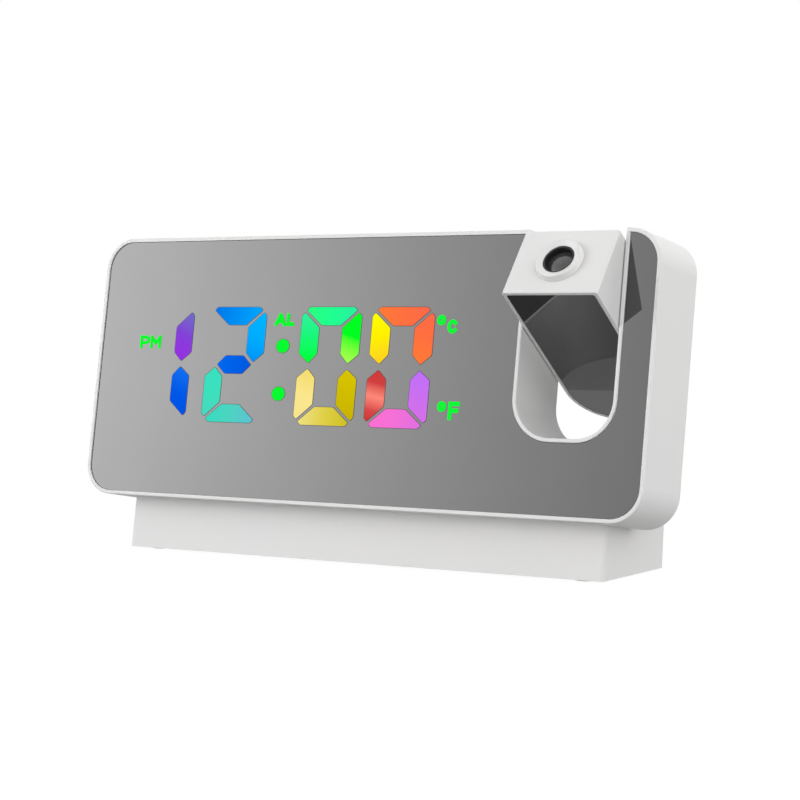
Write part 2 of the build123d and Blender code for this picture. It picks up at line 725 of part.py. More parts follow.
with BuildPart() as rear_cover:
    with BuildSketch(behind(cover_face)):
        add(body_outline(WALL + PLAY))
        add(slot_outline(LINER_WALL + PLAY, deepen=scoop), mode=Mode.SUBTRACT)
    extrude(amount=-COVER_THICK)
    with BuildSketch(behind(key_board_back)):
        with Locations(*key_board_posts):
            Circle(BOARD_POST_RADIUS)
    extrude(amount=key_board_back - cover_face)
    # keys, socket, sound holes and screws
    with BuildSketch(behind(BODY_DEPTH)):
        with Locations(*key_spots):
            Circle(KEY_RADIUS + KEY_GAP)
        with Locations(socket_spot):
            RectangleRounded(
                SOCKET_WIDTH + 2 * KEY_GAP,
                SOCKET_HEIGHT + 2 * KEY_GAP,
                SOCKET_WALL,
            )
        with Locations(buzzer_spot):
            Circle(VENT_RADIUS)
            with PolarLocations(VENT_RING, 6):
                Circle(VENT_RADIUS)
        with Locations(*cover_posts):
            Circle(BOARD_HOLE_RADIUS)
    extrude(amount=COVER_THICK, mode=Mode.SUBTRACT)
    with BuildSketch(behind(BODY_DEPTH)):
        with Locations(*cover_posts):
            Circle(SCREW_HEAD + KEY_GAP)
    extrude(amount=COVER_SCREW_SINK, mode=Mode.SUBTRACT)
    with BuildSketch(behind(key_board_back)):
        with Locations(*key_board_posts):
            Circle(PILOT_RADIUS)
    extrude(amount=key_board_back - cover_face, mode=Mode.SUBTRACT)
rear_cover.part.label = "rear_cover"
export_step(rear_cover.part, "parts/rear_cover.step")

screw_floor = Plane(
    origin=behind(BODY_DEPTH - COVER_SCREW_SINK).origin,
    x_dir=(-1, 0, 0),
    z_dir=-face.z_dir,
)
rear_cover_screws = pan_screws(
    screw_floor,
    [(-x, y) for x, y in cover_posts],
    SCREW_SHANK,
    COVER_THICK + SWITCH_HEIGHT,
    SCREW_HEAD,
    COVER_SCREW_SINK - PLAY,
)
rear_cover_screws.part.label = "rear_cover_screws"
export_step(rear_cover_screws.part, "parts/rear_cover_screws.step")

with BuildPart() as buzzer:
    with BuildSketch(behind(cover_face)):
        with Locations(buzzer_spot):
            Circle(BUZZER_RADIUS)
            Circle(VENT_RADIUS, mode=Mode.SUBTRACT)
    extrude(amount=BUZZER_HEIGHT)
    fillet(buzzer.edges().group_by(Axis(face.origin, face.z_dir))[-1], BUZZER_ROUND)
buzzer.part.label = "buzzer"
export_step(buzzer.part, "parts/buzzer.step")

# ---------------------------------------------------------------- keys
KEY_CROWN = 0.3
for key_name, spot in zip(
    ("set_key", "alarm_key", "up_key", "down_key", "projector_key"), key_spots
):
    with BuildPart() as key:
        with BuildSketch(behind(BODY_DEPTH + KEY_STANDOUT)):
            with Locations(spot):
                Circle(KEY_RADIUS)
        extrude(amount=BODY_DEPTH + KEY_STANDOUT - key_end)
        fillet(key.edges().group_by(Axis(face.origin, face.z_dir))[0], KEY_CROWN)
        with BuildSketch(behind(flange_inside)):
            with Locations(spot):
                Circle(KEY_RADIUS + KEY_FLANGE)
        extrude(amount=KEY_FLANGE)
    key.part.label = key_name
    export_step(key.part, f"parts/{key_name}.step")

with BuildPart() as snooze_bar:
    with BuildSketch(snooze_top.offset(SNOOZE_STANDOUT)):
        SlotOverall(SNOOZE_LENGTH, SNOOZE_WIDTH)
    extrude(amount=-(SNOOZE_STANDOUT + WALL + PLAY + KEY_FLANGE))
    fillet(snooze_bar.edges().group_by(Axis(face.origin, face.y_dir))[-1], KEY_CROWN)
    with BuildSketch(snooze_top.offset(-WALL - PLAY)):
        SlotOverall(SNOOZE_LENGTH + 2 * KEY_FLANGE, SNOOZE_WIDTH + 2 * KEY_FLANGE)
    extrude(amount=-KEY_FLANGE)
snooze_bar.part.label = "snooze_bar"
export_step(snooze_bar.part, "parts/snooze_bar.step")

# ---------------------------------------------------------------- board link
LINK_SIZE = (14.0, 2.5)
LINK_X = -28.25             # from the display's middle
LINK_RISE = 59.0

with BuildPart() as board_link:
    with BuildSketch(behind(board_back)):
        with Locations((display_x + LINK_X, LINK_RISE)):
            Rectangle(*LINK_SIZE)
    extrude(amount=board_back + BOARD_THICK - key_board_back)
board_link.part.label = "board_link"
export_step(board_link.part, "parts/board_link.step")

# ---------------------------------------------------------------- stand
# side_view: local X to the back from the face's lower edge, local Y up from the
# stand's foot.
CELL_SLACK = 0.05           # between the cell and what holds it
side_view = Plane(
    origin=(0, face_y, FOOT_STANDOUT),
    x_dir=(0, 1, 0),
    z_dir=(1, 0, 0),
)
slope = math.tan(lean)
back_slope = math.tan(math.radians(STAND_BACK_LEAN))
front_top = (FACE_RISE - STAND_FRONT_SETBACK * slope) / (1 + slope * slope)
ledge = FACE_RISE - BODY_DEPTH * math.sin(lean)
stand_profile = [
    (STAND_FRONT_SETBACK, 0),
    (STAND_FRONT_SETBACK + front_top * slope, front_top),
    (BODY_DEPTH * math.cos(lean), ledge),
    (STAND_FRONT_SETBACK + STAND_DEPTH + ledge * back_slope, ledge),
    (STAND_FRONT_SETBACK + STAND_DEPTH, 0),
]
cover_front = STAND_FRONT_SETBACK + STAND_WALL / math.cos(lean) + STAND_COVER_THICK * slope
cover_rear = STAND_FRONT_SETBACK + STAND_DEPTH - STAND_WALL / math.cos(math.radians(STAND_BACK_LEAN))
cover_middle = (cover_front + cover_rear) / 2
COVER_SCREW_X = 19.9        # in from each end of the stand
COVER_SCREW_MIDDLE_X = 20.0
cover_screw_spots = [
    (x, face_y + cover_middle)
    for x in (COVER_SCREW_X - stand_end, COVER_SCREW_MIDDLE_X, stand_end - COVER_SCREW_X)
]
stand_inside = stand_end - STAND_WALL

with BuildPart() as stand_shell:
    with BuildSketch(side_view):
        Polygon(*stand_profile, align=None)
    extrude(amount=stand_end, both=True)
    foot_face = stand_shell.faces().sort_by(Axis.Z)[0]
    offset(amount=-STAND_WALL, openings=foot_face)
    outer_ends = stand_shell.faces().filter_by(Axis.X).sort_by(Axis.X)
    end_edges = (outer_ends[0].outer_wire().edges() + outer_ends[-1].outer_wire().edges())
    uprights = [
        edge for edge in end_edges
        if abs((edge % 0.5).Z) > 0.9
    ]
    fillet(uprights, STAND_ROUND)
    # posts for the stand's own cover and pads under the body's screws
    with BuildSketch(Plane.XY.offset(FOOT_STANDOUT + STAND_COVER_THICK)):
        with Locations(*cover_screw_spots):
            Circle(POST_RADIUS)
    extrude(until=Until.NEXT)
    with BuildSketch(Plane.XY.offset(FOOT_STANDOUT + STAND_COVER_THICK)):
        with Locations(*cover_screw_spots):
            Circle(PILOT_RADIUS)
    extrude(amount=ledge - STAND_WALL - STAND_COVER_THICK - STAND_WALL / 2, mode=Mode.SUBTRACT)
    with BuildSketch(underside):
        with Locations(*stand_screw_spots):
            Circle(BOARD_HOLE_RADIUS)
    extrude(amount=2 * STAND_WALL, mode=Mode.SUBTRACT)
    with BuildSketch(lead_level):
        with Locations(lead_spot):
            Circle(LEAD_HOLE)
    extrude(amount=LEAD_CLIMB, mode=Mode.SUBTRACT)
stand_shell.part.label = "stand_shell"
export_step(stand_shell.part, "parts/stand_shell.step")

stand_screws = pan_screws(
    underside.offset(STAND_WALL),
    stand_screw_spots,
    SCREW_SHANK,
    STAND_POST_HEIGHT,
    SCREW_HEAD,
    SCREW_HEAD_HEIGHT,
)
stand_screws.part.label = "stand_screws"
export_step(stand_screws.part, "parts/stand_screws.step")

# ---------------------------------------------------------------- stand's cover
FOOT_X = 7.9                # in from each end of the stand
FOOT_INSET = 4.4            # of a foot's middle from the cover's edge
DOOR_LENGTH = 34.0
DOOR_WIDTH = 24.0
DOOR_CORNER = 3.0
DOOR_SHIFT = 4.5            # door's middle from the cell's, towards its screw
DOOR_SCREW_SHIFT = 16.0
DOOR_POST_RADIUS = 2.6
HOLDER_WALL = 1.2
HOLDER_PLAY = 0.3
HOLDER_MARGIN = 3.0         # holder's foot past the door's ends
CELL_ROUND = 0.3
cell_y = face_y + cover_middle
door_spot = (CELL_X + DOOR_SHIFT, cell_y)
door_screw_spot = (CELL_X + DOOR_SCREW_SHIFT, cell_y)
foot_spots = [
    (x, face_y + y)
    for x in (FOOT_X - stand_end, stand_end - FOOT_X)
    for y in (cover_front + FOOT_INSET, cover_rear - FOOT_INSET)
]
cover_low = FOOT_STANDOUT
cover_high = FOOT_STANDOUT + STAND_COVER_THICK

with BuildPart() as stand_cover:
    with BuildSketch(Plane.XY.offset(cover_low)):
        with Locations((0, cell_y)):
            Rectangle(2 * (stand_inside - PLAY), cover_rear - cover_front - 2 * PLAY)
        with Locations(door_spot):
            RectangleRounded(
                DOOR_LENGTH + 2 * PLAY,
                DOOR_WIDTH + 2 * PLAY,
                DOOR_CORNER,
                mode=Mode.SUBTRACT,
            )
        with Locations(*cover_screw_spots):
            Circle(BOARD_HOLE_RADIUS, mode=Mode.SUBTRACT)
    extrude(amount=STAND_COVER_THICK)
    with BuildSketch(Plane.XY.offset(cover_low)):
        with Locations(*cover_screw_spots):
            Circle(SCREW_HEAD + KEY_GAP)
    extrude(amount=COVER_SCREW_SINK, mode=Mode.SUBTRACT)
    with BuildSketch(Plane.XY.offset(cover_low)):
        with Locations(*foot_spots):
            Circle(FOOT_RADIUS + PLAY)
    extrude(amount=FOOT_SEAT, mode=Mode.SUBTRACT)
stand_cover.part.label = "stand_cover"
export_step(stand_cover.part, "parts/stand_cover.step")

cover_screw_floor = Plane(
    origin=(0, 0, cover_low + COVER_SCREW_SINK),
    x_dir=(1, 0, 0),
    z_dir=(0, 0, -1),
)
stand_cover_screws = pan_screws(
    cover_screw_floor,
    [(x, -y) for x, y in cover_screw_spots],
    SCREW_SHANK,
    ledge / 2,
    SCREW_HEAD,
    COVER_SCREW_SINK - PLAY,
)
stand_cover_screws.part.label = "stand_cover_screws"
export_step(stand_cover_screws.part, "parts/stand_cover_screws.step")

with BuildPart() as rubber_feet:
    with BuildSketch(Plane.XY):
        with Locations(*foot_spots):
            Circle(FOOT_RADIUS)
    extrude(amount=FOOT_STANDOUT + FOOT_SEAT)
    fillet(rubber_feet.edges().group_by(Axis.Z)[0], FOOT_STANDOUT / 2)
rubber_feet.part.label = "rubber_feet"
export_step(rubber_feet.part, "parts/rubber_feet.step")

# ---------------------------------------------------------------- back-up cell
CONTACT_LENGTH = 16.0
CONTACT_WIDTH = 5.0
CONTACT_THICK = 0.3
cell_low = cover_high + PLAY
cell_high = cell_low + CELL_THICK
holder_cap = cell_high + 2 * CELL_SLACK + CONTACT_THICK

with BuildPart() as coin_cell_holder:
    with BuildSketch(Plane.XY.offset(cover_high)):
        with Locations(door_spot):
            RectangleRounded(
                DOOR_LENGTH + 2 * HOLDER_MARGIN,
                DOOR_WIDTH + HOLDER_MARGIN,
                DOOR_CORNER,
            )
    extrude(amount=HOLDER_WALL)
    with BuildSketch(Plane.XY.offset(cover_high)):
        with Locations((CELL_X, cell_y)):
            Circle(CELL_RADIUS + HOLDER_PLAY + HOLDER_WALL)
    extrude(amount=holder_cap + HOLDER_WALL - cover_high)
    with BuildSketch(Plane.XY.offset(cover_high)):
        with Locations(door_screw_spot):
            Circle(DOOR_POST_RADIUS)
    extrude(amount=CELL_THICK + HOLDER_WALL)
    with BuildSketch(Plane.XY.offset(cover_high)):
        with Locations((CELL_X, cell_y)):
            Circle(CELL_RADIUS + HOLDER_PLAY)
    extrude(amount=holder_cap - cover_high, mode=Mode.SUBTRACT)
    with BuildSketch(Plane.XY.offset(cover_high)):
        with Locations(door_screw_spot):
            Circle(PILOT_RADIUS)
    extrude(amount=CELL_THICK, mode=Mode.SUBTRACT)
coin_cell_holder.part.label = "coin_cell_holder"
export_step(coin_cell_holder.part, "parts/coin_cell_holder.step")

with BuildPart() as coin_cell:
    with BuildSketch(Plane.XY.offset(cell_low)):
        with Locations((CELL_X, cell_y)):
            Circle(CELL_RADIUS)
    extrude(amount=CELL_THICK)
    fillet(coin_cell.edges(), CELL_ROUND)
coin_cell.part.label = "coin_cell"
export_step(coin_cell.part, "parts/coin_cell.step")

with BuildPart() as cell_contact:
    with BuildSketch(Plane.XY.offset(cell_high + CELL_SLACK)):
        with Locations((CELL_X, cell_y)):
            SlotOverall(CONTACT_LENGTH, CONTACT_WIDTH)
    extrude(amount=CONTACT_THICK)
cell_contact.part.label = "cell_contact"
export_step(cell_contact.part, "parts/cell_contact.step")

with BuildPart() as coin_cell_door:
    with BuildSketch(Plane.XY.offset(cover_low)):
        with Locations(door_spot):
            RectangleRounded(DOOR_LENGTH, DOOR_WIDTH, DOOR_CORNER)
        with Locations(door_screw_spot):
            Circle(BOARD_HOLE_RADIUS, mode=Mode.SUBTRACT)
    extrude(amount=STAND_COVER_THICK)
    with BuildSketch(Plane.XY.offset(cover_low)):
        with Locations(door_screw_spot):
            Circle(SCREW_HEAD + KEY_GAP)
    extrude(amount=COVER_SCREW_SINK, mode=Mode.SUBTRACT)
coin_cell_door.part.label = "coin_cell_door"
export_step(coin_cell_door.part, "parts/coin_cell_door.step")

coin_cell_door_screw = pan_screws(
    cover_screw_floor,
    [(door_screw_spot[0], -door_screw_spot[1])],
    SCREW_SHANK,
    CELL_THICK,
    SCREW_HEAD,
    COVER_SCREW_SINK - PLAY,
)
coin_cell_door_screw.part.label = "coin_cell_door_screw"
export_step(coin_cell_door_screw.part, "parts/coin_cell_door_screw.step")

# Lead from the cell's holder up to the display board.
LEAD_LAND = 2.5             # lead's end above the display board's lower edge
lead_start = Vector(*lead_spot, holder_cap + HOLDER_WALL + PLAY)
lead_end = face.from_local_coords(Vector(CELL_X, board_low + LEAD_LAND, -board_back - PLAY))
with BuildPart() as cell_lead:
    with BuildLine() as cell_lead_path:
        Spline(lead_start, lead_end, tangents=((0, 0, 1), face.z_dir))
    with BuildSketch(Plane(origin=lead_start, z_dir=(0, 0, 1))):
        Circle(LEAD_RADIUS)
    sweep(path=cell_lead_path.wire())
cell_lead.part.label = "cell_lead"
export_step(cell_lead.part, "parts/cell_lead.step")

# ---------------------------------------------------------------- pivot
# Everything here turns about, or carries, the arm's pivot.
PIN_END = 0.25              # of a pin, past its clip
CLIP_THICK = 0.5
CLIP_RADIUS = 4.2
GROOVE_RADIUS = 2.0
LEAD_BORE = 1.2
WASHER_THICK = 0.3
WASHER_RADIUS = 4.6
PIN_BOSS_LENGTH = 2.0
CLIP_MOUTH = 3.2
PIN_BOSS_RADIUS = 4.6
bearing_end = SLOT_WIDTH / 2 + LINER_WALL + BEARING_LENGTH
clip_near = bearing_end + BUSH_FLANGE + PLAY
clip_far = clip_near + CLIP_THICK
pin_reach = clip_far + PIN_END
arm_inside = arm_width / 2 - ARM_WALL
pin_root = arm_inside - PIN_BOSS_LENGTH


def across(x):
    """Plane square to the pivot, a distance to the right of the arm's middle."""
    return Plane(origin=pivot + Vector(x, 0, 0), x_dir=arm.y_dir, z_dir=(1, 0, 0))


with BuildPart() as pivot_bushes:
    for side in (-1, 1):
        with BuildSketch(slot_side(side)):
            Circle(BUSH_RADIUS)
            Circle(PIN_RADIUS + RUNNING, mode=Mode.SUBTRACT)
        extrude(amount=LINER_WALL + BEARING_LENGTH)
        with BuildSketch(slot_side(side, LINER_WALL + BEARING_LENGTH)):
            Circle(BUSH_RADIUS + BUSH_FLANGE)
            Circle(PIN_RADIUS + RUNNING, mode=Mode.SUBTRACT)
        extrude(amount=BUSH_FLANGE)
pivot_bushes.part.label = "pivot_bushes"
export_step(pivot_bushes.part, "parts/pivot_bushes.step")

with BuildPart() as pivot_tube:
    with BuildSketch(across(-pin_reach)):
        Circle(PIN_RADIUS)
    extrude(amount=pin_reach - pin_root)
    with BuildSketch(across(-clip_far)):
        Circle(PIN_RADIUS)
        Circle(GROOVE_RADIUS, mode=Mode.SUBTRACT)
    extrude(amount=CLIP_THICK, mode=Mode.SUBTRACT)
    with BuildSketch(across(-pin_reach)):
        Circle(LEAD_BORE)
    extrude(amount=pin_reach - pin_root, mode=Mode.SUBTRACT)
pivot_tube.part.label = "pivot_tube"
export_step(pivot_tube.part, "parts/pivot_tube.step")

with BuildPart() as pivot_pin:
    with BuildSketch(across(pin_root)):
        Circle(PIN_RADIUS)
    extrude(amount=pin_reach - pin_root)
    with BuildSketch(across(clip_near)):
        Circle(PIN_RADIUS)
        Circle(GROOVE_RADIUS, mode=Mode.SUBTRACT)
    extrude(amount=CLIP_THICK, mode=Mode.SUBTRACT)
pivot_pin.part.label = "pivot_pin"
export_step(pivot_pin.part, "parts/pivot_pin.step")

with BuildPart() as retaining_clips:
    for x in (-clip_far, clip_near):
        with BuildSketch(across(x)):
            Circle(CLIP_RADIUS)
            with Locations((-CLIP_RADIUS, 0)):
                Rectangle(2 * CLIP_RADIUS, CLIP_MOUTH, mode=Mode.SUBTRACT)
            Circle(GROOVE_RADIUS, mode=Mode.SUBTRACT)
        extrude(amount=CLIP_THICK)
retaining_clips.part.label = "retaining_clips"
export_step(retaining_clips.part, "parts/retaining_clips.step")

with BuildPart() as friction_washers:
    for x in (-arm_width / 2 - WASHER_THICK, arm_width / 2):
        with BuildSketch(across(x)):
            Circle(WASHER_RADIUS)
            Circle(PIN_RADIUS + PLAY, mode=Mode.SUBTRACT)
        extrude(amount=WASHER_THICK)
friction_washers.part.label = "friction_washers"
export_step(friction_washers.part, "parts/friction_washers.step")

# ---------------------------------------------------------------- arm's shell
# arm_cross: square to the arm's length, local Z towards the lens.
ARM_MIRROR_THICK = 1.5
ARM_MIRROR_SINK = 0.15
ARM_COVER_THICK = 1.8
ARM_POST_RADIUS = 2.2
BOARD_GRIP = 1.2            # ribs that hold the lamp's board
GRIP_REACH = 2.2
LAMP_HOUSE_LOW = -14.6
LED_BOARD_THICK = 1.4
LED_BOARD_GAP = 0.6         # all round
SADDLE_WIDTH = 12.0
SADDLE_THICK = 1.6
saddle_spots = [-11.2, 8.8]
LENS_POST_INSET = 2.335     # of the screw posts beside the lens, from the arm's inside
LENS_POST_DROP = 11.8       # and from the arm's upper end
FOOT_POST_INSET = 4.135     # of the posts in the foot
FOOT_POST_RISE = 8.3
arm_front = arm_thick / 2
wall_front = arm_front - ARM_MIRROR_SINK - ARM_MIRROR_THICK
wall_back = wall_front - ARM_BACKING
lens_post_x = arm_inside - LENS_POST_INSET
foot_post_x = arm_inside - FOOT_POST_INSET
arm_post_spots = [
    (-lens_post_x, ARM_ABOVE - LENS_POST_DROP),
    (lens_post_x, ARM_ABOVE - LENS_POST_DROP),
    (-foot_post_x, FOOT_POST_RISE - arm_below),
    (foot_post_x, FOOT_POST_RISE - arm_below),
]
arm_cover_inside = ARM_COVER_THICK - arm_front
led_board_high = LAMP_HOUSE_LOW - PLAY
ring_top = ARM_ABOVE + RING_STANDOUT
lens_cell_top = ring_top - RING_DISH - LENS_SINK
lens_cell_low = lens_cell_top - LENS_CELL_LENGTH
lamp_house_high = lens_cell_low - FOCUS_TRAVEL - PLAY
arm_cross = Plane(origin=pivot, x_dir=(1, 0, 0), z_dir=arm.y_dir)
arm_length_axis = Axis(pivot, arm.y_dir)

with BuildPart() as arm_shell:
    with BuildSketch(arm):
        add(arm_outline(0))
    extrude(amount=arm_front, both=True)
    front_rim = arm_shell.faces().sort_by(Axis(pivot, arm.z_dir))[-1].edges()
    fillet(front_rim, ARM_EDGE_ROUND)
    with BuildSketch(arm.offset(-arm_front)):
        add(arm_outline(ARM_WALL))
    extrude(amount=arm_front + wall_back, mode=Mode.SUBTRACT)
    with BuildSketch(arm.offset(arm_front)):
        add(arm_outline(ARM_LIP))
    extrude(amount=wall_front - arm_front, mode=Mode.SUBTRACT)
    with BuildSketch(arm.offset(wall_back)):
        with Locations(*arm_post_spots):
            Circle(ARM_POST_RADIUS)
    extrude(amount=arm_cover_inside - wall_back)
    # saddles for the lamp house and ribs for the lamp's board
    with BuildSketch(arm.offset(wall_back)):
        for y in saddle_spots:
            with Locations((0, y)):
                Rectangle(SADDLE_WIDTH, SADDLE_THICK)
        for side in (-1, 1):
            for y in (
                led_board_high + PLAY + BOARD_GRIP / 2,
                led_board_high - LED_BOARD_THICK - PLAY - BOARD_GRIP / 2,
            ):
                with Locations((side * (arm_inside - GRIP_REACH / 2), y)):
                    Rectangle(GRIP_REACH, BOARD_GRIP)
    extrude(amount=LAMP_HOUSE_RADIUS / 2 - wall_back)
    with BuildSketch(arm_cross.offset(saddle_spots[0] - SADDLE_THICK)):
        Circle(LAMP_HOUSE_RADIUS + RUNNING)
    extrude(amount=saddle_spots[1] - saddle_spots[0] + 2 * SADDLE_THICK, mode=Mode.SUBTRACT)
    for x in (-arm_inside, pin_root):
        with BuildSketch(across(x)):
            Circle(PIN_BOSS_RADIUS)
        extrude(amount=PIN_BOSS_LENGTH)
    # holes: pins, screws and the focus ring's neck
    for x in (-arm_width / 2, pin_root):
        with BuildSketch(across(x)):
            Circle(PIN_RADIUS)
        extrude(amount=arm_width / 2 - pin_root, mode=Mode.SUBTRACT)
    with BuildSketch(arm.offset(arm_cover_inside)):
        with Locations(*arm_post_spots):
            Circle(PILOT_RADIUS)
    extrude(amount=wall_back - arm_cover_inside, mode=Mode.SUBTRACT)
    with BuildSketch(arm_cross.offset(ARM_ABOVE - ARM_WALL)):
        Circle(RING_NECK + PLAY)
    extrude(amount=ARM_WALL, mode=Mode.SUBTRACT)
arm_shell.part.label = "arm_shell"
export_step(arm_shell.part, "parts/arm_shell.step")

with BuildPart() as arm_mirror:
    with BuildSketch(arm.offset(wall_front)):
        add(arm_outline(ARM_LIP + PLAY))
    extrude(amount=ARM_MIRROR_THICK)
arm_mirror.part.label = "arm_mirror"
export_step(arm_mirror.part, "parts/arm_mirror.step")

with BuildPart() as arm_back_cover:
    with BuildSketch(arm.offset(-arm_front)):
        add(arm_outline(ARM_WALL + PLAY))
        with Locations(*arm_post_spots):
            Circle(BOARD_HOLE_RADIUS, mode=Mode.SUBTRACT)
    extrude(amount=ARM_COVER_THICK)
    with BuildSketch(arm.offset(-arm_front)):
        with Locations(*arm_post_spots):
            Circle(SCREW_HEAD + KEY_GAP)
    extrude(amount=COVER_SCREW_SINK, mode=Mode.SUBTRACT)
    with BuildSketch(arm.offset(arm_cover_inside)):
        for y in saddle_spots:
            with Locations((0, y)):
                Rectangle(SADDLE_WIDTH, SADDLE_THICK)
    extrude(amount=-arm_cover_inside - LAMP_HOUSE_RADIUS / 2)
    with BuildSketch(arm_cross.offset(saddle_spots[0] - SADDLE_THICK)):
        Circle(LAMP_HOUSE_RADIUS + RUNNING)
    extrude(amount=saddle_spots[1] - saddle_spots[0] + 2 * SADDLE_THICK, mode=Mode.SUBTRACT)
arm_back_cover.part.label = "arm_back_cover"
export_step(arm_back_cover.part, "parts/arm_back_cover.step")

arm_screw_floor = Plane(
    origin=arm.from_local_coords(Vector(0, 0, COVER_SCREW_SINK - arm_front)),
    x_dir=(-1, 0, 0),
    z_dir=-arm.z_dir,
)
arm_screws = pan_screws(
    arm_screw_floor,
    [(-x, y) for x, y in arm_post_spots],
    SCREW_SHANK,
    LAMP_HOUSE_RADIUS,
    SCREW_HEAD,
    COVER_SCREW_SINK - PLAY,
)
arm_screws.part.label = "arm_screws"
export_step(arm_screws.part, "parts/arm_screws.step")

# ---------------------------------------------------------------- lamp and slide
SHELF_LOW = 0.5
SHELF_THICK = 1.4
SHELF_HOLE = 3.3
SLIDE_SIZE = 7.0
SLIDE_THICK = 1.4
LENS_EDGE = 1.2
LENS_BULGE = 2.3
LED_RADIUS = 2.5
LED_COLLAR = 2.9
LED_COLLAR_THICK = 1.0
LED_BARREL = 5.5
LED_DOME = 2.0

with BuildPart() as lamp_house:
    with BuildSketch(arm_cross.offset(LAMP_HOUSE_LOW)):
        Circle(LAMP_HOUSE_RADIUS)
        Circle(LAMP_HOUSE_BORE, mode=Mode.SUBTRACT)
    extrude(amount=lamp_house_high - LAMP_HOUSE_LOW)
    with BuildSketch(arm_cross.offset(SHELF_LOW)):
        Circle(LAMP_HOUSE_BORE)
        Circle(SHELF_HOLE, mode=Mode.SUBTRACT)
    extrude(amount=SHELF_THICK)
lamp_house.part.label = "lamp_house"
export_step(lamp_house.part, "parts/lamp_house.step")

with BuildPart() as condenser_lens:
    with BuildSketch(arm):
        with BuildLine():
            edge_radius = LAMP_HOUSE_BORE - PLAY
            lens_top = SHELF_LOW - PLAY
            Polyline(
                (0, lens_top - LENS_EDGE - LENS_BULGE),
                (0, lens_top),
                (edge_radius, lens_top),
                (edge_radius, lens_top - LENS_EDGE),
            )
            TangentArc(
                (0, lens_top - LENS_EDGE - LENS_BULGE),
                (edge_radius, lens_top - LENS_EDGE),
                tangent=(1, 0),
            )
        make_face()
    revolve(axis=arm_length_axis)
condenser_lens.part.label = "condenser_lens"
export_step(condenser_lens.part, "parts/condenser_lens.step")

with BuildPart() as lcd_slide:
    with BuildSketch(arm_cross.offset(SHELF_LOW + SHELF_THICK + PLAY)):
        Rectangle(SLIDE_SIZE, SLIDE_SIZE)
    extrude(amount=SLIDE_THICK)
lcd_slide.part.label = "lcd_slide"
export_step(lcd_slide.part, "parts/lcd_slide.step")

with BuildPart() as projector_led:
    with BuildSketch(arm_cross.offset(led_board_high)):
        Circle(LED_COLLAR)
    extrude(amount=LED_COLLAR_THICK)
    with BuildSketch(arm_cross.offset(led_board_high)):
        Circle(LED_RADIUS)
    extrude(amount=LED_BARREL)
    dome_edge = projector_led.faces().sort_by(arm_length_axis)[-1].edges()
    fillet(dome_edge, LED_DOME)
projector_led.part.label = "projector_led"
export_step(projector_led.part, "parts/projector_led.step")

with BuildPart() as led_board:
    with BuildSketch(arm_cross.offset(led_board_high)):
        Rectangle(2 * (arm_inside - LED_BOARD_GAP), 2 * (wall_back - LED_BOARD_GAP))
    extrude(amount=-LED_BOARD_THICK)
led_board.part.label = "led_board"
export_step(led_board.part, "parts/led_board.step")

# Lead to the lamp: one piece in the body, one in the arm, meeting in the pivot tube.
LEAD_JOINT_GAP = 0.3
LEAD_BEND = 1.4
LEAD_DROP = 1.5             # from the tube's inner end to where the lead turns down
lead_meet = -SLOT_WIDTH / 2 - LINER_WALL
lead_from = connector_end - slot_x
with BuildPart() as projector_lead:
    with BuildSketch(across(lead_from)):
        Circle(LEAD_RADIUS)
    extrude(amount=lead_meet - LEAD_JOINT_GAP / 2 - lead_from)
projector_lead.part.label = "projector_lead"
export_step(projector_lead.part, "parts/projector_lead.step")

with BuildPart() as arm_lead:
    with BuildLine(arm):
        FilletPolyline(
            (lead_meet + LEAD_JOINT_GAP / 2, 0),
            (LEAD_DROP - pin_root, 0),
            (LEAD_DROP - pin_root, led_board_high + RUNNING),
            radius=LEAD_BEND,
        )
    with BuildSketch(across(lead_meet + LEAD_JOINT_GAP / 2)):
        Circle(LEAD_RADIUS)
    sweep()
arm_lead.part.label = "arm_lead"
export_step(arm_lead.part, "parts/arm_lead.step")

# ---------------------------------------------------------------- focus ring, lens
RING_FLANGE_RADIUS = 6.3
RING_FLANGE_THICK = 0.8
CREST_ROUND = 0.35
CELL_LIP = 0.15             # how far it reaches in over the glass
CELL_HOOD = 1.0             # length of the cell in front of the glass
LENS_THICK = 3.2
LENS_RIM = 1.6
ring_low = ARM_ABOVE + PLAY
flange_top = ARM_ABOVE - ARM_WALL - PLAY

with BuildPart() as focus_ring:
    with BuildSketch(arm) as ring_profile:
        with BuildLine():
            Polyline(
                (RING_HOLE, flange_top - RING_FLANGE_THICK),
                (RING_HOLE, ring_top - RING_DISH),
                (RING_CREST, ring_top),
                (RING_RADIUS, ring_low),
                (RING_NECK, ring_low),
                (RING_NECK, flange_top),
                (RING_FLANGE_RADIUS, flange_top),
                (RING_FLANGE_RADIUS, flange_top - RING_FLANGE_THICK),
                close=True,
            )
        make_face()
        fillet(ring_profile.vertices().sort_by(Axis.Y)[-1], CREST_ROUND)
    revolve(axis=arm_length_axis)
focus_ring.part.label = "focus_ring"
export_step(focus_ring.part, "parts/focus_ring.step")

with BuildPart() as lens_cell:
    with BuildSketch(arm_cross.offset(lens_cell_low)):
        Circle(RING_HOLE - RUNNING)
        Circle(LENS_RADIUS, mode=Mode.SUBTRACT)
    extrude(amount=LENS_CELL_LENGTH)
    with BuildSketch(arm_cross.offset(lens_cell_top)):
        Circle(LENS_RADIUS)
        Circle(LENS_RADIUS - CELL_LIP, mode=Mode.SUBTRACT)
    extrude(amount=-CELL_HOOD)
lens_cell.part.label = "lens_cell"
export_step(lens_cell.part, "parts/lens_cell.step")

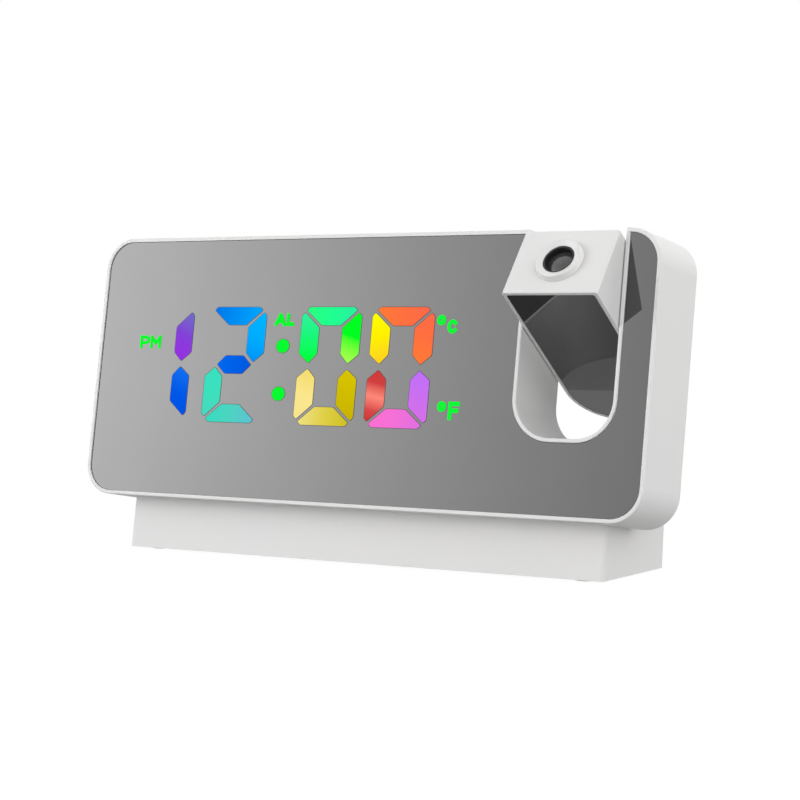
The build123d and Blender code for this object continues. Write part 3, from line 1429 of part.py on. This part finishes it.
lens_high = lens_cell_top - CELL_HOOD
lens_edge_high = lens_high - (LENS_THICK - LENS_RIM) / 2
lens_edge_low = lens_edge_high - LENS_RIM
lens_low = lens_high - LENS_THICK
with BuildPart() as projection_lens:
    with BuildSketch(arm):
        with BuildLine():
            Line((0, lens_low), (0, lens_high))
            TangentArc(
                (0, lens_high),
                (LENS_RADIUS - RUNNING, lens_edge_high),
                tangent=(1, 0),
            )
            Line(
                (LENS_RADIUS - RUNNING, lens_edge_high),
                (LENS_RADIUS - RUNNING, lens_edge_low),
            )
            TangentArc(
                (0, lens_low),
                (LENS_RADIUS - RUNNING, lens_edge_low),
                tangent=(1, 0),
            )
        make_face()
    revolve(axis=arm_length_axis)
projection_lens.part.label = "projection_lens"
export_step(projection_lens.part, "parts/projection_lens.step")
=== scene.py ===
# Projection alarm clock: the finishes, the lit display and the studio.
import math

import bmesh
import bpy
from mathutils import Matrix, Vector


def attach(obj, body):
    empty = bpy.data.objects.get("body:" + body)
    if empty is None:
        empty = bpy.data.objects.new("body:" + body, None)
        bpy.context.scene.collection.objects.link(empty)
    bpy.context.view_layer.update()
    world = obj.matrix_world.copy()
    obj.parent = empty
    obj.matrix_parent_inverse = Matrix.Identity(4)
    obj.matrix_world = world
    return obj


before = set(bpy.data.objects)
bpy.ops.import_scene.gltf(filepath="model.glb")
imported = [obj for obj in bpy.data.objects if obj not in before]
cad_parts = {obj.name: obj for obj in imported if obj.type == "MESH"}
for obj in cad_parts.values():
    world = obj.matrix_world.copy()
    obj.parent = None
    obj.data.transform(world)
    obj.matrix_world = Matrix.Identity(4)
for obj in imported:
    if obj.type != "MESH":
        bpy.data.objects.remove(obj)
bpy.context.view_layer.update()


# Camera: a long lens well back on the clock's right, a little above the table,
# looking at the face from where the slot and the right end both show.
VIEW_AZIMUTH = math.radians(33.23)
VIEW_RISE = math.radians(2.77)
VIEW_ROLL = math.radians(-0.26)
VIEW_DISTANCE = 0.5946
VIEW_TARGET = Vector((0.0204, -0.02567, 0.04692))
LENS_LENGTH = 98.28
SENSOR_WIDTH = 36.0
NEAREST_SEEN = 0.01

look = Vector((
    -math.sin(VIEW_AZIMUTH) * math.cos(VIEW_RISE),
    math.cos(VIEW_AZIMUTH) * math.cos(VIEW_RISE),
    -math.sin(VIEW_RISE),
))
level_right = look.cross(Vector((0, 0, 1))).normalized()
level_up = level_right.cross(look)
camera_right = math.cos(VIEW_ROLL) * level_right + math.sin(VIEW_ROLL) * level_up
camera_up = camera_right.cross(look)
camera_data = bpy.data.cameras.new("camera")
camera_data.lens = LENS_LENGTH
camera_data.sensor_width = SENSOR_WIDTH
camera_data.clip_start = NEAREST_SEEN
camera = bpy.data.objects.new("camera", camera_data)
camera.matrix_world = Matrix.Translation(VIEW_TARGET - VIEW_DISTANCE * look) @ Matrix(
    (camera_right, camera_up, -look)
).transposed().to_4x4()
bpy.context.scene.collection.objects.link(camera)
bpy.context.scene.camera = camera
bpy.context.scene.view_settings.view_transform = "Standard"


# White shells: body, rear cover, stand and arm are injection-moulded ABS with a
# fine satin grain, as are the keys, the snooze bar and the ring round the lens.
class Wire:
    """An output of a shader node. Arithmetic on it adds Math nodes."""

    def __init__(self, tree, socket):
        self.tree = tree
        self.socket = socket

    def node(self, kind, settings=None, inputs=None, output=0):
        """Adds any other node: settings first, with a ramp's stops as (position, colour)
        pairs, then its sockets' values or links."""
        made = self.tree.nodes.new("ShaderNode" + kind)
        for name, value in (settings or {}).items():
            if name == "stops":
                elements = made.color_ramp.elements
                while len(elements) < len(value):
                    elements.new(0.5)
                for element, (position, colour) in zip(elements, value):
                    element.position = position
                    element.color = (*colour, 1.0)
            else:
                setattr(made, name, value)
        for name, value in (inputs or {}).items():
            if isinstance(value, Wire):
                self.tree.links.new(value.socket, made.inputs[name])
            else:
                made.inputs[name].default_value = value
        return Wire(self.tree, made.outputs[output])

    def maths(self, operation, *values):
        return self.node("Math", {"operation": operation}, dict(enumerate((self, *values))))

    def __add__(self, other):
        return self.maths("ADD", other)

    def __sub__(self, other):
        return self.maths("SUBTRACT", other)

    def __rsub__(self, other):
        return self.node("Math", {"operation": "SUBTRACT"}, {0: other, 1: self})

    def __mul__(self, other):
        return self.maths("MULTIPLY", other)

    __radd__ = __add__
    __rmul__ = __mul__


def new_finish(name, constants=None):
    """A material with its constants on the shader; returns it, its shader and a Wire
    that carries a point's place on the object."""
    material = bpy.data.materials.new(name)
    material.use_nodes = True
    tree = material.node_tree
    shader = tree.nodes["Principled BSDF"]
    for socket, value in (constants or {}).items():
        shader.inputs[socket].default_value = value
    place = Wire(tree, tree.nodes.new("ShaderNodeTexCoord").outputs["Object"])
    return material, shader, place


def drive(shader, socket, wire):
    """Lets a Wire feed one of the shader's sockets."""
    wire.tree.links.new(wire.socket, shader.inputs[socket])


def noise(place, per_metre, detail=2.0):
    """Soft noise of values round a half, with so many clouds to a metre."""
    return place.node(
        "TexNoise", inputs={"Vector": place, "Scale": per_metre, "Detail": detail}
    )


def mottle(shader, clouds, dark, light, dark_to=0.3, light_from=0.7):
    """Colours a finish from one shade to a near one by the values of a noise."""
    stops = [(dark_to, dark), (light_from, light)]
    drive(shader, "Base Color", clouds.node("ValToRGB", {"stops": stops}, {0: clouds}))


def sheen(shader, clouds, least, varies):
    """Roughness that rises from its least value with a noise."""
    drive(shader, "Roughness", clouds * varies + least)


def grain(shader, place, per_metre, depth):
    """Fine moulded texture: the bump of a noise, its depth in metres."""
    bump = {"Height": noise(place, per_metre), "Distance": depth, "Strength": 1.0}
    drive(shader, "Normal", place.node("Bump", inputs=bump))


def paint_nodes(material, *nodes):
    """Gives CAD nodes their material."""
    for name in nodes:
        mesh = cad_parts[name].data
        mesh.materials.clear()
        mesh.materials.append(material)


WHITE = (0.80, 0.80, 0.80)
WHITE_WARM = (0.815, 0.81, 0.80)
ABS_IOR = 1.48
# Sheen: roughness at least, and how much it varies. Grain: to a metre, and its depth.
SATIN_SHEEN = (0.36, 0.10)
SATIN_GRAIN = (5200.0, 0.000004)
POLISHED_SHEEN = (0.22, 0.08)
POLISHED_GRAIN = (5200.0, 0.000002)

shell_white, shader, place = new_finish("satin_white", {"IOR": ABS_IOR})
clouds = noise(place, per_metre=38.0, detail=3.0)
mottle(shader, clouds, WHITE, WHITE_WARM)
sheen(shader, clouds, *SATIN_SHEEN)
grain(shader, place, *SATIN_GRAIN)
paint_nodes(
    shell_white,
    "front_housing", "rear_cover", "stand_shell", "stand_cover", "coin_cell_door",
    "arm_shell", "arm_back_cover",
)

key_white, shader, place = new_finish("polished_white", {"IOR": ABS_IOR})
clouds = noise(place, per_metre=90.0)
mottle(shader, clouds, WHITE, WHITE_WARM)
sheen(shader, clouds, *POLISHED_SHEEN)
grain(shader, place, *POLISHED_GRAIN)
paint_nodes(
    key_white,
    "snooze_bar", "set_key", "alarm_key", "up_key", "down_key", "projector_key",
    "focus_ring",
)


# Mirrors: clear acrylic with a grey half-mirror coating on its back, one over the
# whole face and a lighter one on the arm. Only smears and dust break their polish.
FACE_TINT = (0.086, 0.086, 0.087)
ARM_TINT = (0.160, 0.160, 0.161)
SMEAR_SCALE = 26.0
SMEAR_SWIRL = 0.6
SMEAR_LIFT = 1.03
SMEAR_DULLS = 0.025
DUST_SCALE = 900.0
DUST_DULLS = 0.01


def half_mirror(name, tint):
    """Grey mirror: smears lift its tint a little, and dull it as the dust does."""
    material, shader, place = new_finish(name, {"Metallic": 1.0})
    smear = place.node("TexNoise", inputs={
        "Vector": place, "Scale": SMEAR_SCALE, "Detail": 4.0, "Distortion": SMEAR_SWIRL,
    })
    lifted = tuple(SMEAR_LIFT * part for part in tint)
    mottle(shader, smear, tint, lifted, dark_to=0.35, light_from=0.75)
    dust = noise(place, per_metre=DUST_SCALE)
    drive(shader, "Roughness", smear * SMEAR_DULLS + dust * DUST_DULLS)
    return material


paint_nodes(half_mirror("face_half_mirror", FACE_TINT), "mirror_panel")
paint_nodes(half_mirror("arm_half_mirror", ARM_TINT), "arm_mirror")


# Lit display: the bars, dots and signs that shine through the half-mirror. Each is
# a thin plate of light on the mirror's face, coloured as its strip of film is.
LEAN = math.radians(9.75)
FACE_FOOT = Vector((0.0, -0.0256747, 0.01655))
FACE_UP = Vector((0.0, math.sin(LEAN), math.cos(LEAN)))
FACE_OUT = Vector((0.0, -math.cos(LEAN), math.sin(LEAN)))
MIRROR_DEPTH = 0.0004
PLATE_THICK = 0.00006
# Digits: where their middles are up the face, half a digit's size, the widths of its
# upright and level bars, the gap between bars, and how far their ends are cut.
DIGIT_MIDDLE = 0.0396
HALF_WIDTH = 0.01038
HALF_HEIGHT = 0.01698
SIDE_BAR = 0.00646
CROSS_BAR = 0.00546
DIGIT_GAP = 0.00068
CORNER_CUT = 0.0026
BAR_TIP = 0.0036
BAR_POINT = 0.00275
MIDDLE_TIP = 0.0005
DIGIT_X = {"tens": -0.06835, "hours": -0.0418, "minute_tens": -0.00865, "minutes": 0.01555}
COLON_X = -0.0249
COLON_HEIGHTS = (0.0452, 0.0314)
COLON_SIZE = (0.0024, 0.0021)
WINDOW_EDGE = 0.00013
WINDOW_ROUND = 0.0005

face_frame = Matrix.Translation(FACE_FOOT - MIRROR_DEPTH * FACE_OUT) @ Matrix(
    ((1, 0, 0), FACE_UP, FACE_OUT)
).transposed().to_4x4()


def linear(code):
    """Linear colour of a six-digit screen colour."""
    parts = (int(code[i:i + 2], 16) / 255 for i in (0, 2, 4))
    return tuple(c / 12.92 if c < 0.04045 else ((c + 0.055) / 1.055) ** 2.4 for c in parts)


def glow(name, codes, start, end):
    """Light that runs through screen colours from one place on the face to another."""
    material, shader, place = new_finish(name, {
        "Base Color": (0, 0, 0, 1), "Specular IOR Level": 0.0, "Emission Strength": 1.0,
    })
    first, last = (face_frame @ Vector((*spot, 0)) for spot in (start, end))
    run = (last - first) / (last - first).length_squared
    along = place.node(
        "VectorMath", {"operation": "DOT_PRODUCT"}, {0: place, 1: run}, output="Value"
    ) - first.dot(run)
    spread = max(1, len(codes) - 1)
    stops = [(number / spread, linear(code)) for number, code in enumerate(codes)]
    drive(shader, "Emission Color", along.node("ValToRGB", {"stops": stops}, {0: along}))
    return material


def bar_outline(name):
    """Corners of one bar of a digit, about the digit's middle."""
    cut = CORNER_CUT / 2
    slip = DIGIT_GAP / 2 * math.sqrt(0.5)
    inner_x = HALF_WIDTH - SIDE_BAR
    inner_y = HALF_HEIGHT - CROSS_BAR
    if name == "g":
        half = [
            (inner_x - DIGIT_GAP, CROSS_BAR / 2),
            (HALF_WIDTH - BAR_TIP - MIDDLE_TIP, 0),
            (inner_x - DIGIT_GAP, -CROSS_BAR / 2),
        ]
        return half + [(-x, -y) for x, y in half]
    if name in "ad":
        half = [
            (HALF_WIDTH - CORNER_CUT, HALF_HEIGHT),
            (HALF_WIDTH - cut - slip, HALF_HEIGHT - cut + slip),
            (inner_x - DIGIT_GAP, inner_y),
        ]
        bar = half + [(-x, y) for x, y in reversed(half)]
        return bar if name == "a" else [(x, -y) for x, y in bar]
    across = -1 if name in "ef" else 1
    upward = -1 if name in "ce" else 1
    return [(across * x, upward * y) for x, y in (
        (HALF_WIDTH - cut + slip, HALF_HEIGHT - cut - slip),
        (HALF_WIDTH, HALF_HEIGHT - CORNER_CUT),
        (HALF_WIDTH, BAR_POINT + DIGIT_GAP),
        (HALF_WIDTH - BAR_TIP, DIGIT_GAP),
        (inner_x, BAR_POINT + DIGIT_GAP),
        (inner_x, inner_y - DIGIT_GAP * math.sqrt(0.5)),
    )]


PRINT_GREY = (0.045, 0.045, 0.046)
PRINT_PALE = (0.06, 0.06, 0.061)
PRINT_SHEEN = (0.4, 0.2)
window_print, shader, place = new_finish("window_print", {"Specular IOR Level": 0.2})
clouds = noise(place, per_metre=900.0)
mottle(shader, clouds, PRINT_GREY, PRINT_PALE)
sheen(shader, clouds, *PRINT_SHEEN)


def light_plate(name, shapes, rounding):
    """Plates of light on the face, each with the film's dark print round its window:
    shapes are (corners on the face, material)."""
    mesh = bpy.data.meshes.new(name)
    made = bmesh.new()
    for number, (corners, material) in enumerate(shapes):
        mesh.materials.append(material)
        plate = made.faces.new([made.verts.new((x, y, 0)) for x, y in corners])
        plate.material_index = number
        if rounding:
            bmesh.ops.bevel(
                made, geom=list(plate.verts), offset=rounding, offset_type="OFFSET",
                affect="VERTICES", segments=4, profile=0.5, material=-1, clamp_overlap=True,
            )
            plate = next(side for side in made.faces if side.material_index == number)
        plate.normal_update()
        border = bmesh.ops.inset_region(
            made, faces=[plate], thickness=WINDOW_EDGE, use_boundary=True, use_even_offset=True
        )["faces"]
        for strip in border:
            strip.material_index = len(shapes)
        raised = bmesh.ops.extrude_face_region(made, geom=[plate, *border])
        bmesh.ops.translate(
            made,
            verts=[v for v in raised["geom"] if isinstance(v, bmesh.types.BMVert)],
            vec=(0, 0, PLATE_THICK),
        )
    mesh.materials.append(window_print)
    bmesh.ops.recalc_face_normals(made, faces=made.faces)
    bmesh.ops.transform(made, matrix=face_frame, verts=made.verts)
    made.to_mesh(mesh)
    made.free()
    piece = bpy.data.objects.new(name, mesh)
    bpy.context.scene.collection.objects.link(piece)
    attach(piece, "clock_body")


# bar: (screen colours, from and to as shares of the digit's half width and height)
DIGIT_COLOURS = {
    "tens": {
        "b": (("9A2BE5", "8340D8", "6A70C0"), (0.4, 0.1), (1, 0.9)),
        "c": (("1470F0", "0058E8", "0052E4"), (0.9, -0.1), (0.5, -0.9)),
    },
    "hours": {
        "a": (("0078EC", "0090F4", "00A8FC"), (-0.8, 0.9), (0.8, 0.7)),
        "b": (("00B4FF", "00ACFF", "0094F8"), (0.9, 0.8), (0.5, 0.1)),
        "g": (("0068F0", "0060E8", "0058E0"), (-0.5, 0.1), (0.5, -0.1)),
        "e": (("38E0C0", "3DE0BC", "48D8C0"), (-0.6, -0.1), (-0.6, -0.9)),
        "d": (("38DCC0", "4CD4C0", "5BC4D0"), (-0.7, -0.8), (0.7, -0.9)),
    },
    "minute_tens": {
        "f": (("30F0A0", "18F878", "00FF38"), (-0.6, 0.9), (-0.6, 0.1)),
        "a": (("28FF80", "20FF90", "28F0A0"), (-0.8, 0.8), (0.8, 0.9)),
        "b": (("00FF20", "00FF20", "A8FF50"), (0.9, 0.9), (0.5, 0.1)),
        "e": (("F4DC70", "FBE78C", "F8E490"), (-0.5, -0.1), (-0.8, -0.9)),
        "d": (("F0E080", "E0D048", "D0C020"), (-0.8, -0.8), (0.8, -0.9)),
        "c": (("D8C400", "D0BC00", "C8B000"), (0.8, -0.1), (0.6, -0.9)),
    },
    "minutes": {
        "f": (("FFFF00", "FFF000", "FFD020"), (-0.9, 0.9), (-0.5, 0.1)),
        "a": (("FF7A35", "FF7040", "FF6848"), (-0.8, 0.8), (0.8, 0.9)),
        "b": (("FF6848", "FF7040", "FF7A35"), (0.9, 0.9), (0.5, 0.1)),
        "e": (("D03838", "D04040", "FF8878", "D84848", "C83030"), (-0.5, -0.05), (-0.8, -0.95)),
        "d": (("FF70D0", "F470D8", "E070E0"), (-0.8, -0.8), (0.8, -0.9)),
        "c": (("C070F8", "CC70F0", "D870E8"), (0.8, -0.1), (0.6, -0.9)),
    },
}
for digit, bars in DIGIT_COLOURS.items():
    middle_x = DIGIT_X[digit]
    shapes = []
    for bar, (codes, start, end) in bars.items():
        spots = [
            (middle_x + x * HALF_WIDTH, DIGIT_MIDDLE + y * HALF_HEIGHT) for x, y in (start, end)
        ]
        corners = [(middle_x + x, DIGIT_MIDDLE + y) for x, y in bar_outline(bar)]
        shapes.append((corners, glow(f"light_{digit}_{bar}", codes, *spots)))
    light_plate(f"lit_{digit}", shapes, WINDOW_ROUND)

sign_green = glow("light_signs", ("00FF28", "10F838"), (-0.08, 0.03), (0.035, 0.05))
DOT_SIDES = 48
C_SIDES = 18
dot_ring = [
    (math.cos(turn * math.tau / DOT_SIDES), math.sin(turn * math.tau / DOT_SIDES))
    for turn in range(DOT_SIDES)
]
c_bow = dot_ring[-C_SIDES:] + dot_ring[:C_SIDES + 1]
light_plate("lit_colon", [
    (
        [(COLON_X + COLON_SIZE[0] * x, height + COLON_SIZE[1] * y) for x, y in dot_ring],
        sign_green,
    )
    for height in COLON_HEIGHTS
], rounding=0)

# Strokes of each sign, as shares of its width and height, less a stroke's thickness.
SIGN_STROKES = {
    "P": [
        [(0, 0), (0, 1)],
        [(0, 1), (0.6, 1), (0.92, 0.88), (1, 0.7), (0.92, 0.52), (0.6, 0.4), (0, 0.4)],
    ],
    "M": [
        [(0, 0), (0, 1)],
        [(0.08, 0.9), (0.5, 0.4)],
        [(0.5, 0.4), (0.92, 0.9)],
        [(1, 1), (1, 0)],
    ],
    "A": [[(0, 0), (0.44, 1)], [(0.56, 1), (1, 0)], [(0.3, 0.32), (0.7, 0.32)]],
    "L": [[(0, 1), (0, 0)], [(0, 0), (1, 0)]],
    "C": [[(0.5 - 0.5 * x, 0.5 + 0.5 * y) for x, y in c_bow]],
    "F": [[(0, 0), (0, 1)], [(0, 1), (1, 1)], [(0, 0.52), (0.85, 0.52)]],
    "degree": [[(0.5 + 0.5 * x, 0.5 + 0.5 * y) for x, y in dot_ring]],
}


def sign(name, letters, stroke):
    """A lit sign drawn in flattened tubes, whose open ends reach half a stroke further:
    letters are (letter, lower left corner, size)."""
    drawn = bpy.data.curves.new(name, "CURVE")
    drawn.dimensions = "3D"
    drawn.bevel_depth = stroke / 2
    drawn.bevel_resolution = 2
    drawn.use_fill_caps = True
    for letter, corner, size in letters:
        for path in SIGN_STROKES[letter]:
            spots = [
                Vector(
                    low + stroke / 2 + share * (length - stroke)
                    for low, share, length in zip(corner, spot, size)
                )
                for spot in path
            ]
            line = drawn.splines.new("POLY")
            line.use_cyclic_u = letter == "degree"
            if not line.use_cyclic_u:
                spots[0] += (spots[0] - spots[1]).normalized() * stroke / 2
                spots[-1] += (spots[-1] - spots[-2]).normalized() * stroke / 2
            line.points.add(len(path) - 1)
            for point, spot in zip(line.points, spots):
                point.co = (*spot, 0, 1)
    shape = bpy.data.objects.new(name + "_strokes", drawn)
    mesh = bpy.data.meshes.new_from_object(shape)
    mesh.name = name
    bpy.data.objects.remove(shape)
    mesh.transform(
        face_frame
        @ Matrix.Translation((0, 0, PLATE_THICK))
        @ Matrix.Diagonal((1, 1, PLATE_THICK / stroke, 1))
    )
    mesh.materials.clear()
    mesh.materials.append(sign_green)
    piece = bpy.data.objects.new(name, mesh)
    bpy.context.scene.collection.objects.link(piece)
    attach(piece, "clock_body")


sign("lit_pm", [
    ("P", (-0.07785, 0.04405), (0.00365, 0.00390)),
    ("M", (-0.07395, 0.04405), (0.00410, 0.00390)),
], stroke=0.00098)
sign("lit_al", [
    ("A", (-0.02853, 0.05096), (0.00395, 0.00366)),
    ("L", (-0.02440, 0.05096), (0.00272, 0.00366)),
], stroke=0.00115)
sign("lit_celsius", [
    ("degree", (0.02661, 0.0514), (0.0029, 0.0029)),
    ("C", (0.03005, 0.04914), (0.00347, 0.00391)),
], stroke=0.00115)
sign("lit_fahrenheit", [
    ("degree", (0.02897, 0.0276), (0.00295, 0.00295)),
    ("F", (0.03259, 0.02544), (0.00363, 0.00505)),
], stroke=0.00125)


# Behind the mirror: a dark film, a white light box with milky plates in its wells,
# and green boards with their lamps, chip and connectors. All of it is closed in.
FILM_BLACK = (0.012, 0.012, 0.014)
FILM_WORN = (0.02, 0.02, 0.022)
BOX_WHITE = (0.74, 0.74, 0.72)
BOX_BRIGHT = (0.80, 0.80, 0.78)
BOX_GRAIN = (3000.0, 0.000005)
RESIN_MILKY = (0.80, 0.80, 0.78)
RESIN_CLEAR = (0.86, 0.86, 0.85)
MASK_GREEN = (0.012, 0.10, 0.035, 1)
MASK_LIGHT = (0.015, 0.12, 0.045, 1)
TRACK_GREEN = (0.03, 0.19, 0.07, 1)
TRACK_WIDTH = 0.035
TRACK_LENGTH = 1.6
MASK_SHEEN = (0.25, 0.15)
LAMP_YELLOW = (0.78, 0.70, 0.32)
LAMP_PALE = (0.86, 0.80, 0.45)

film_dark, shader, place = new_finish("dark_film", {"Roughness": 0.3})
mottle(shader, noise(place, per_metre=700.0), FILM_BLACK, FILM_WORN)
paint_nodes(film_dark, "display_film")

reflector, shader, place = new_finish("reflector_white", {"Roughness": 0.5})
mottle(shader, noise(place, per_metre=60.0), BOX_WHITE, BOX_BRIGHT)
grain(shader, place, *BOX_GRAIN)
paint_nodes(reflector, "light_box")

milky, shader, place = new_finish("milky_resin", {
    "Roughness": 0.35, "Subsurface Weight": 0.3, "Subsurface Scale": 0.001,
})
mottle(shader, noise(place, per_metre=400.0), RESIN_MILKY, RESIN_CLEAR)
paint_nodes(milky, "segment_diffusers")

board_green, shader, place = new_finish("solder_mask", {"IOR": 1.5})
tracks = place.node(
    "TexBrick",
    {"offset": 0.5, "squash": 1.0},
    {
        "Vector": place, "Scale": 260.0,
        "Mortar Size": TRACK_WIDTH, "Brick Width": TRACK_LENGTH,
        "Color1": MASK_GREEN, "Color2": MASK_LIGHT, "Mortar": TRACK_GREEN,
    },
)
drive(shader, "Base Color", tracks)
sheen(shader, noise(place, per_metre=300.0), *MASK_SHEEN)
paint_nodes(board_green, "display_board", "key_board", "led_board")

lamp_yellow, shader, place = new_finish("lamp_resin", {"Roughness": 0.3})
mottle(shader, noise(place, per_metre=500.0), LAMP_YELLOW, LAMP_PALE)
paint_nodes(lamp_yellow, "display_lamps", "projector_led")


# Black mouldings: the lens cell, the lamp's house, connectors, switches, the buzzer
# and the coin cell's holder, all plain black plastic with a dull grain.
DEEP_BLACK = (0.012, 0.012, 0.013)
DUSTY_BLACK = (0.02, 0.02, 0.021)
BLACK_SHEEN = (0.4, 0.2)
BLACK_GRAIN = (4200.0, 0.000005)

black, shader, place = new_finish("dull_black", {"IOR": 1.46})
clouds = noise(place, per_metre=120.0, detail=3.0)
mottle(shader, clouds, DEEP_BLACK, DUSTY_BLACK)
sheen(shader, clouds, *BLACK_SHEEN)
grain(shader, place, *BLACK_GRAIN)
paint_nodes(
    black,
    "controller_chip", "lead_connector", "board_link", "key_switches", "snooze_switch",
    "buzzer", "coin_cell_holder", "lamp_house", "lens_cell",
)


# Metal: zinc-plated screws, pivot tube and pin, spring-steel clips and contact, the
# socket's shell and the coin cell, all a little cloudy. The arm's pivots turn in
# moulded bushes and washers of natural acetal.
ZINC_CLOUDY = (0.52, 0.53, 0.55)
ZINC_BRIGHT = (0.66, 0.66, 0.67)
ZINC_SHEEN = (0.15, 0.25)
ACETAL = (0.72, 0.70, 0.63)
ACETAL_PALE = (0.78, 0.76, 0.70)

steel, shader, place = new_finish("zinc_plate", {"Metallic": 1.0})
clouds = noise(place, per_metre=650.0, detail=4.0)
mottle(shader, clouds, ZINC_CLOUDY, ZINC_BRIGHT)
sheen(shader, clouds, *ZINC_SHEEN)
paint_nodes(
    steel,
    "power_socket", "display_board_screws", "key_board_screws", "rear_cover_screws",
    "stand_screws", "stand_cover_screws", "coin_cell_door_screw", "arm_screws",
    "cell_contact", "coin_cell", "pivot_pin", "pivot_tube", "retaining_clips",
)

acetal, shader, place = new_finish("natural_acetal", {"Roughness": 0.35})
mottle(shader, noise(place, per_metre=200.0), ACETAL, ACETAL_PALE)
paint_nodes(acetal, "pivot_bushes", "friction_washers")


# Rubber and sleeves: four milky silicone feet under the stand, and the soft red
# sleeves of the leads to the arm and to the cell.
SILICONE = (0.74, 0.74, 0.73)
SILICONE_PALE = (0.80, 0.80, 0.79)
SILICONE_SHEEN = (0.55, 0.2)
SILICONE_GRAIN = (2600.0, 0.00001)
SLEEVE_RED = (0.33, 0.02, 0.015)
SLEEVE_BRIGHT = (0.42, 0.03, 0.02)

rubber, shader, place = new_finish("foot_rubber", {"Specular IOR Level": 0.3})
clouds = noise(place, per_metre=500.0, detail=4.0)
mottle(shader, clouds, SILICONE, SILICONE_PALE)
sheen(shader, clouds, *SILICONE_SHEEN)
grain(shader, place, *SILICONE_GRAIN)
paint_nodes(rubber, "rubber_feet")

sleeve, shader, place = new_finish("red_sleeve", {"Roughness": 0.45})
mottle(shader, noise(place, per_metre=350.0), SLEEVE_RED, SLEEVE_BRIGHT)
paint_nodes(sleeve, "projector_lead", "arm_lead", "cell_lead")


# Projector's optics: a polished lens in the black cell under the focus ring, and the
# condenser and the dark liquid-crystal slide below it.
GLASS_DARK = (0.040, 0.040, 0.041)
GLASS_GREY = (0.052, 0.052, 0.053)
GLASS_SHEEN = (0.02, 0.04)

glass, shader, place = new_finish("coated_lens", {
    "IOR": 1.52, "Coat Weight": 0.5, "Coat Roughness": 0.03,
})
clouds = noise(place, per_metre=300.0)
mottle(shader, clouds, GLASS_DARK, GLASS_GREY)
sheen(shader, clouds, *GLASS_SHEEN)
paint_nodes(glass, "projection_lens", "condenser_lens", "lcd_slide")


# Studio: a pale floor that runs out of sight, soft light all round that mirrors see
# brighter, and a bright bank on the left whose fading edge the half-mirror shows.
FLOOR_REACH = 30.0
FLOOR_GREY = (0.40, 0.40, 0.40)
FLOOR_PALE = (0.42, 0.42, 0.42)
FLOOR_ROUGH = 0.9
FLOOR_SHINE = 1.13
FLOOR_WASH = 0.85
FLOOR_MIRRORED = 0.45
ROOM_LIGHT = 0.30
ROOM_MIRRORED = 0.70
BANK_LIGHT = 5.60
BANK_FALL = 18.5
BANK_TOWARDS = Vector((-0.794, -0.60, 0.225))
RIGHT_LIGHT = 1.80
RIGHT_FALL = 2.0
RIGHT_TOWARDS = Vector((0.93, -0.34, 0.106))
REAR_LIGHT = 0.35
REAR_FALL = 1.5
REAR_TOWARDS = Vector((0.0, 1.0, 0.5))

floor_data = bpy.data.meshes.new("studio_floor")
floor_made = bmesh.new()
bmesh.ops.create_grid(floor_made, x_segments=1, y_segments=1, size=FLOOR_REACH)
floor_made.to_mesh(floor_data)
floor_made.free()
floor = bpy.data.objects.new("studio_floor", floor_data)
bpy.context.scene.collection.objects.link(floor)
floor_paint, shader, place = new_finish("pale_floor", {
    "Roughness": FLOOR_ROUGH, "Specular IOR Level": 0.0,
})
mottle(shader, noise(place, per_metre=0.5), FLOOR_GREY, FLOOR_PALE)
seen = place.node("LightPath", output="Is Camera Ray")
mirrored = place.node("LightPath", output="Is Glossy Ray")
shine = place.node("Emission", inputs={"Color": (1, 1, 1, 1), "Strength": FLOOR_SHINE})
floor_look = place.node("MixShader", inputs={
    0: seen * FLOOR_WASH + mirrored * FLOOR_MIRRORED,
    1: Wire(floor_paint.node_tree, shader.outputs[0]),
    2: shine,
})
outlet = floor_paint.node_tree.nodes["Material Output"]
floor_paint.node_tree.links.new(floor_look.socket, outlet.inputs["Surface"])
floor_data.materials.append(floor_paint)

world = bpy.data.worlds.new("studio")
bpy.context.scene.world = world
world.use_nodes = True
tree = world.node_tree
backdrop = tree.nodes["Background"]
way = Wire(tree, tree.nodes.new("ShaderNodeTexCoord").outputs["Generated"])


def soft_bank(towards, fall):
    """Light that fades away from one direction."""
    towards = towards.normalized()
    near = way.node(
        "VectorMath", {"operation": "DOT_PRODUCT"}, {0: way, 1: towards}, output="Value"
    )
    return near.maths("MAXIMUM", 0.0).maths("POWER", fall)


room = (
    soft_bank(BANK_TOWARDS, BANK_FALL) * BANK_LIGHT
    + soft_bank(RIGHT_TOWARDS, RIGHT_FALL) * RIGHT_LIGHT
    + soft_bank(REAR_TOWARDS, REAR_FALL) * REAR_LIGHT
    + ROOM_LIGHT
)
seen = way.node("LightPath", output="Is Camera Ray")
mirrored = way.node("LightPath", output="Is Glossy Ray")
strength = seen + (1.0 - seen) * (room + mirrored * ROOM_MIRRORED)
tree.links.new(strength.socket, backdrop.inputs["Strength"])
backdrop.inputs["Color"].default_value = (1, 1, 1, 1)
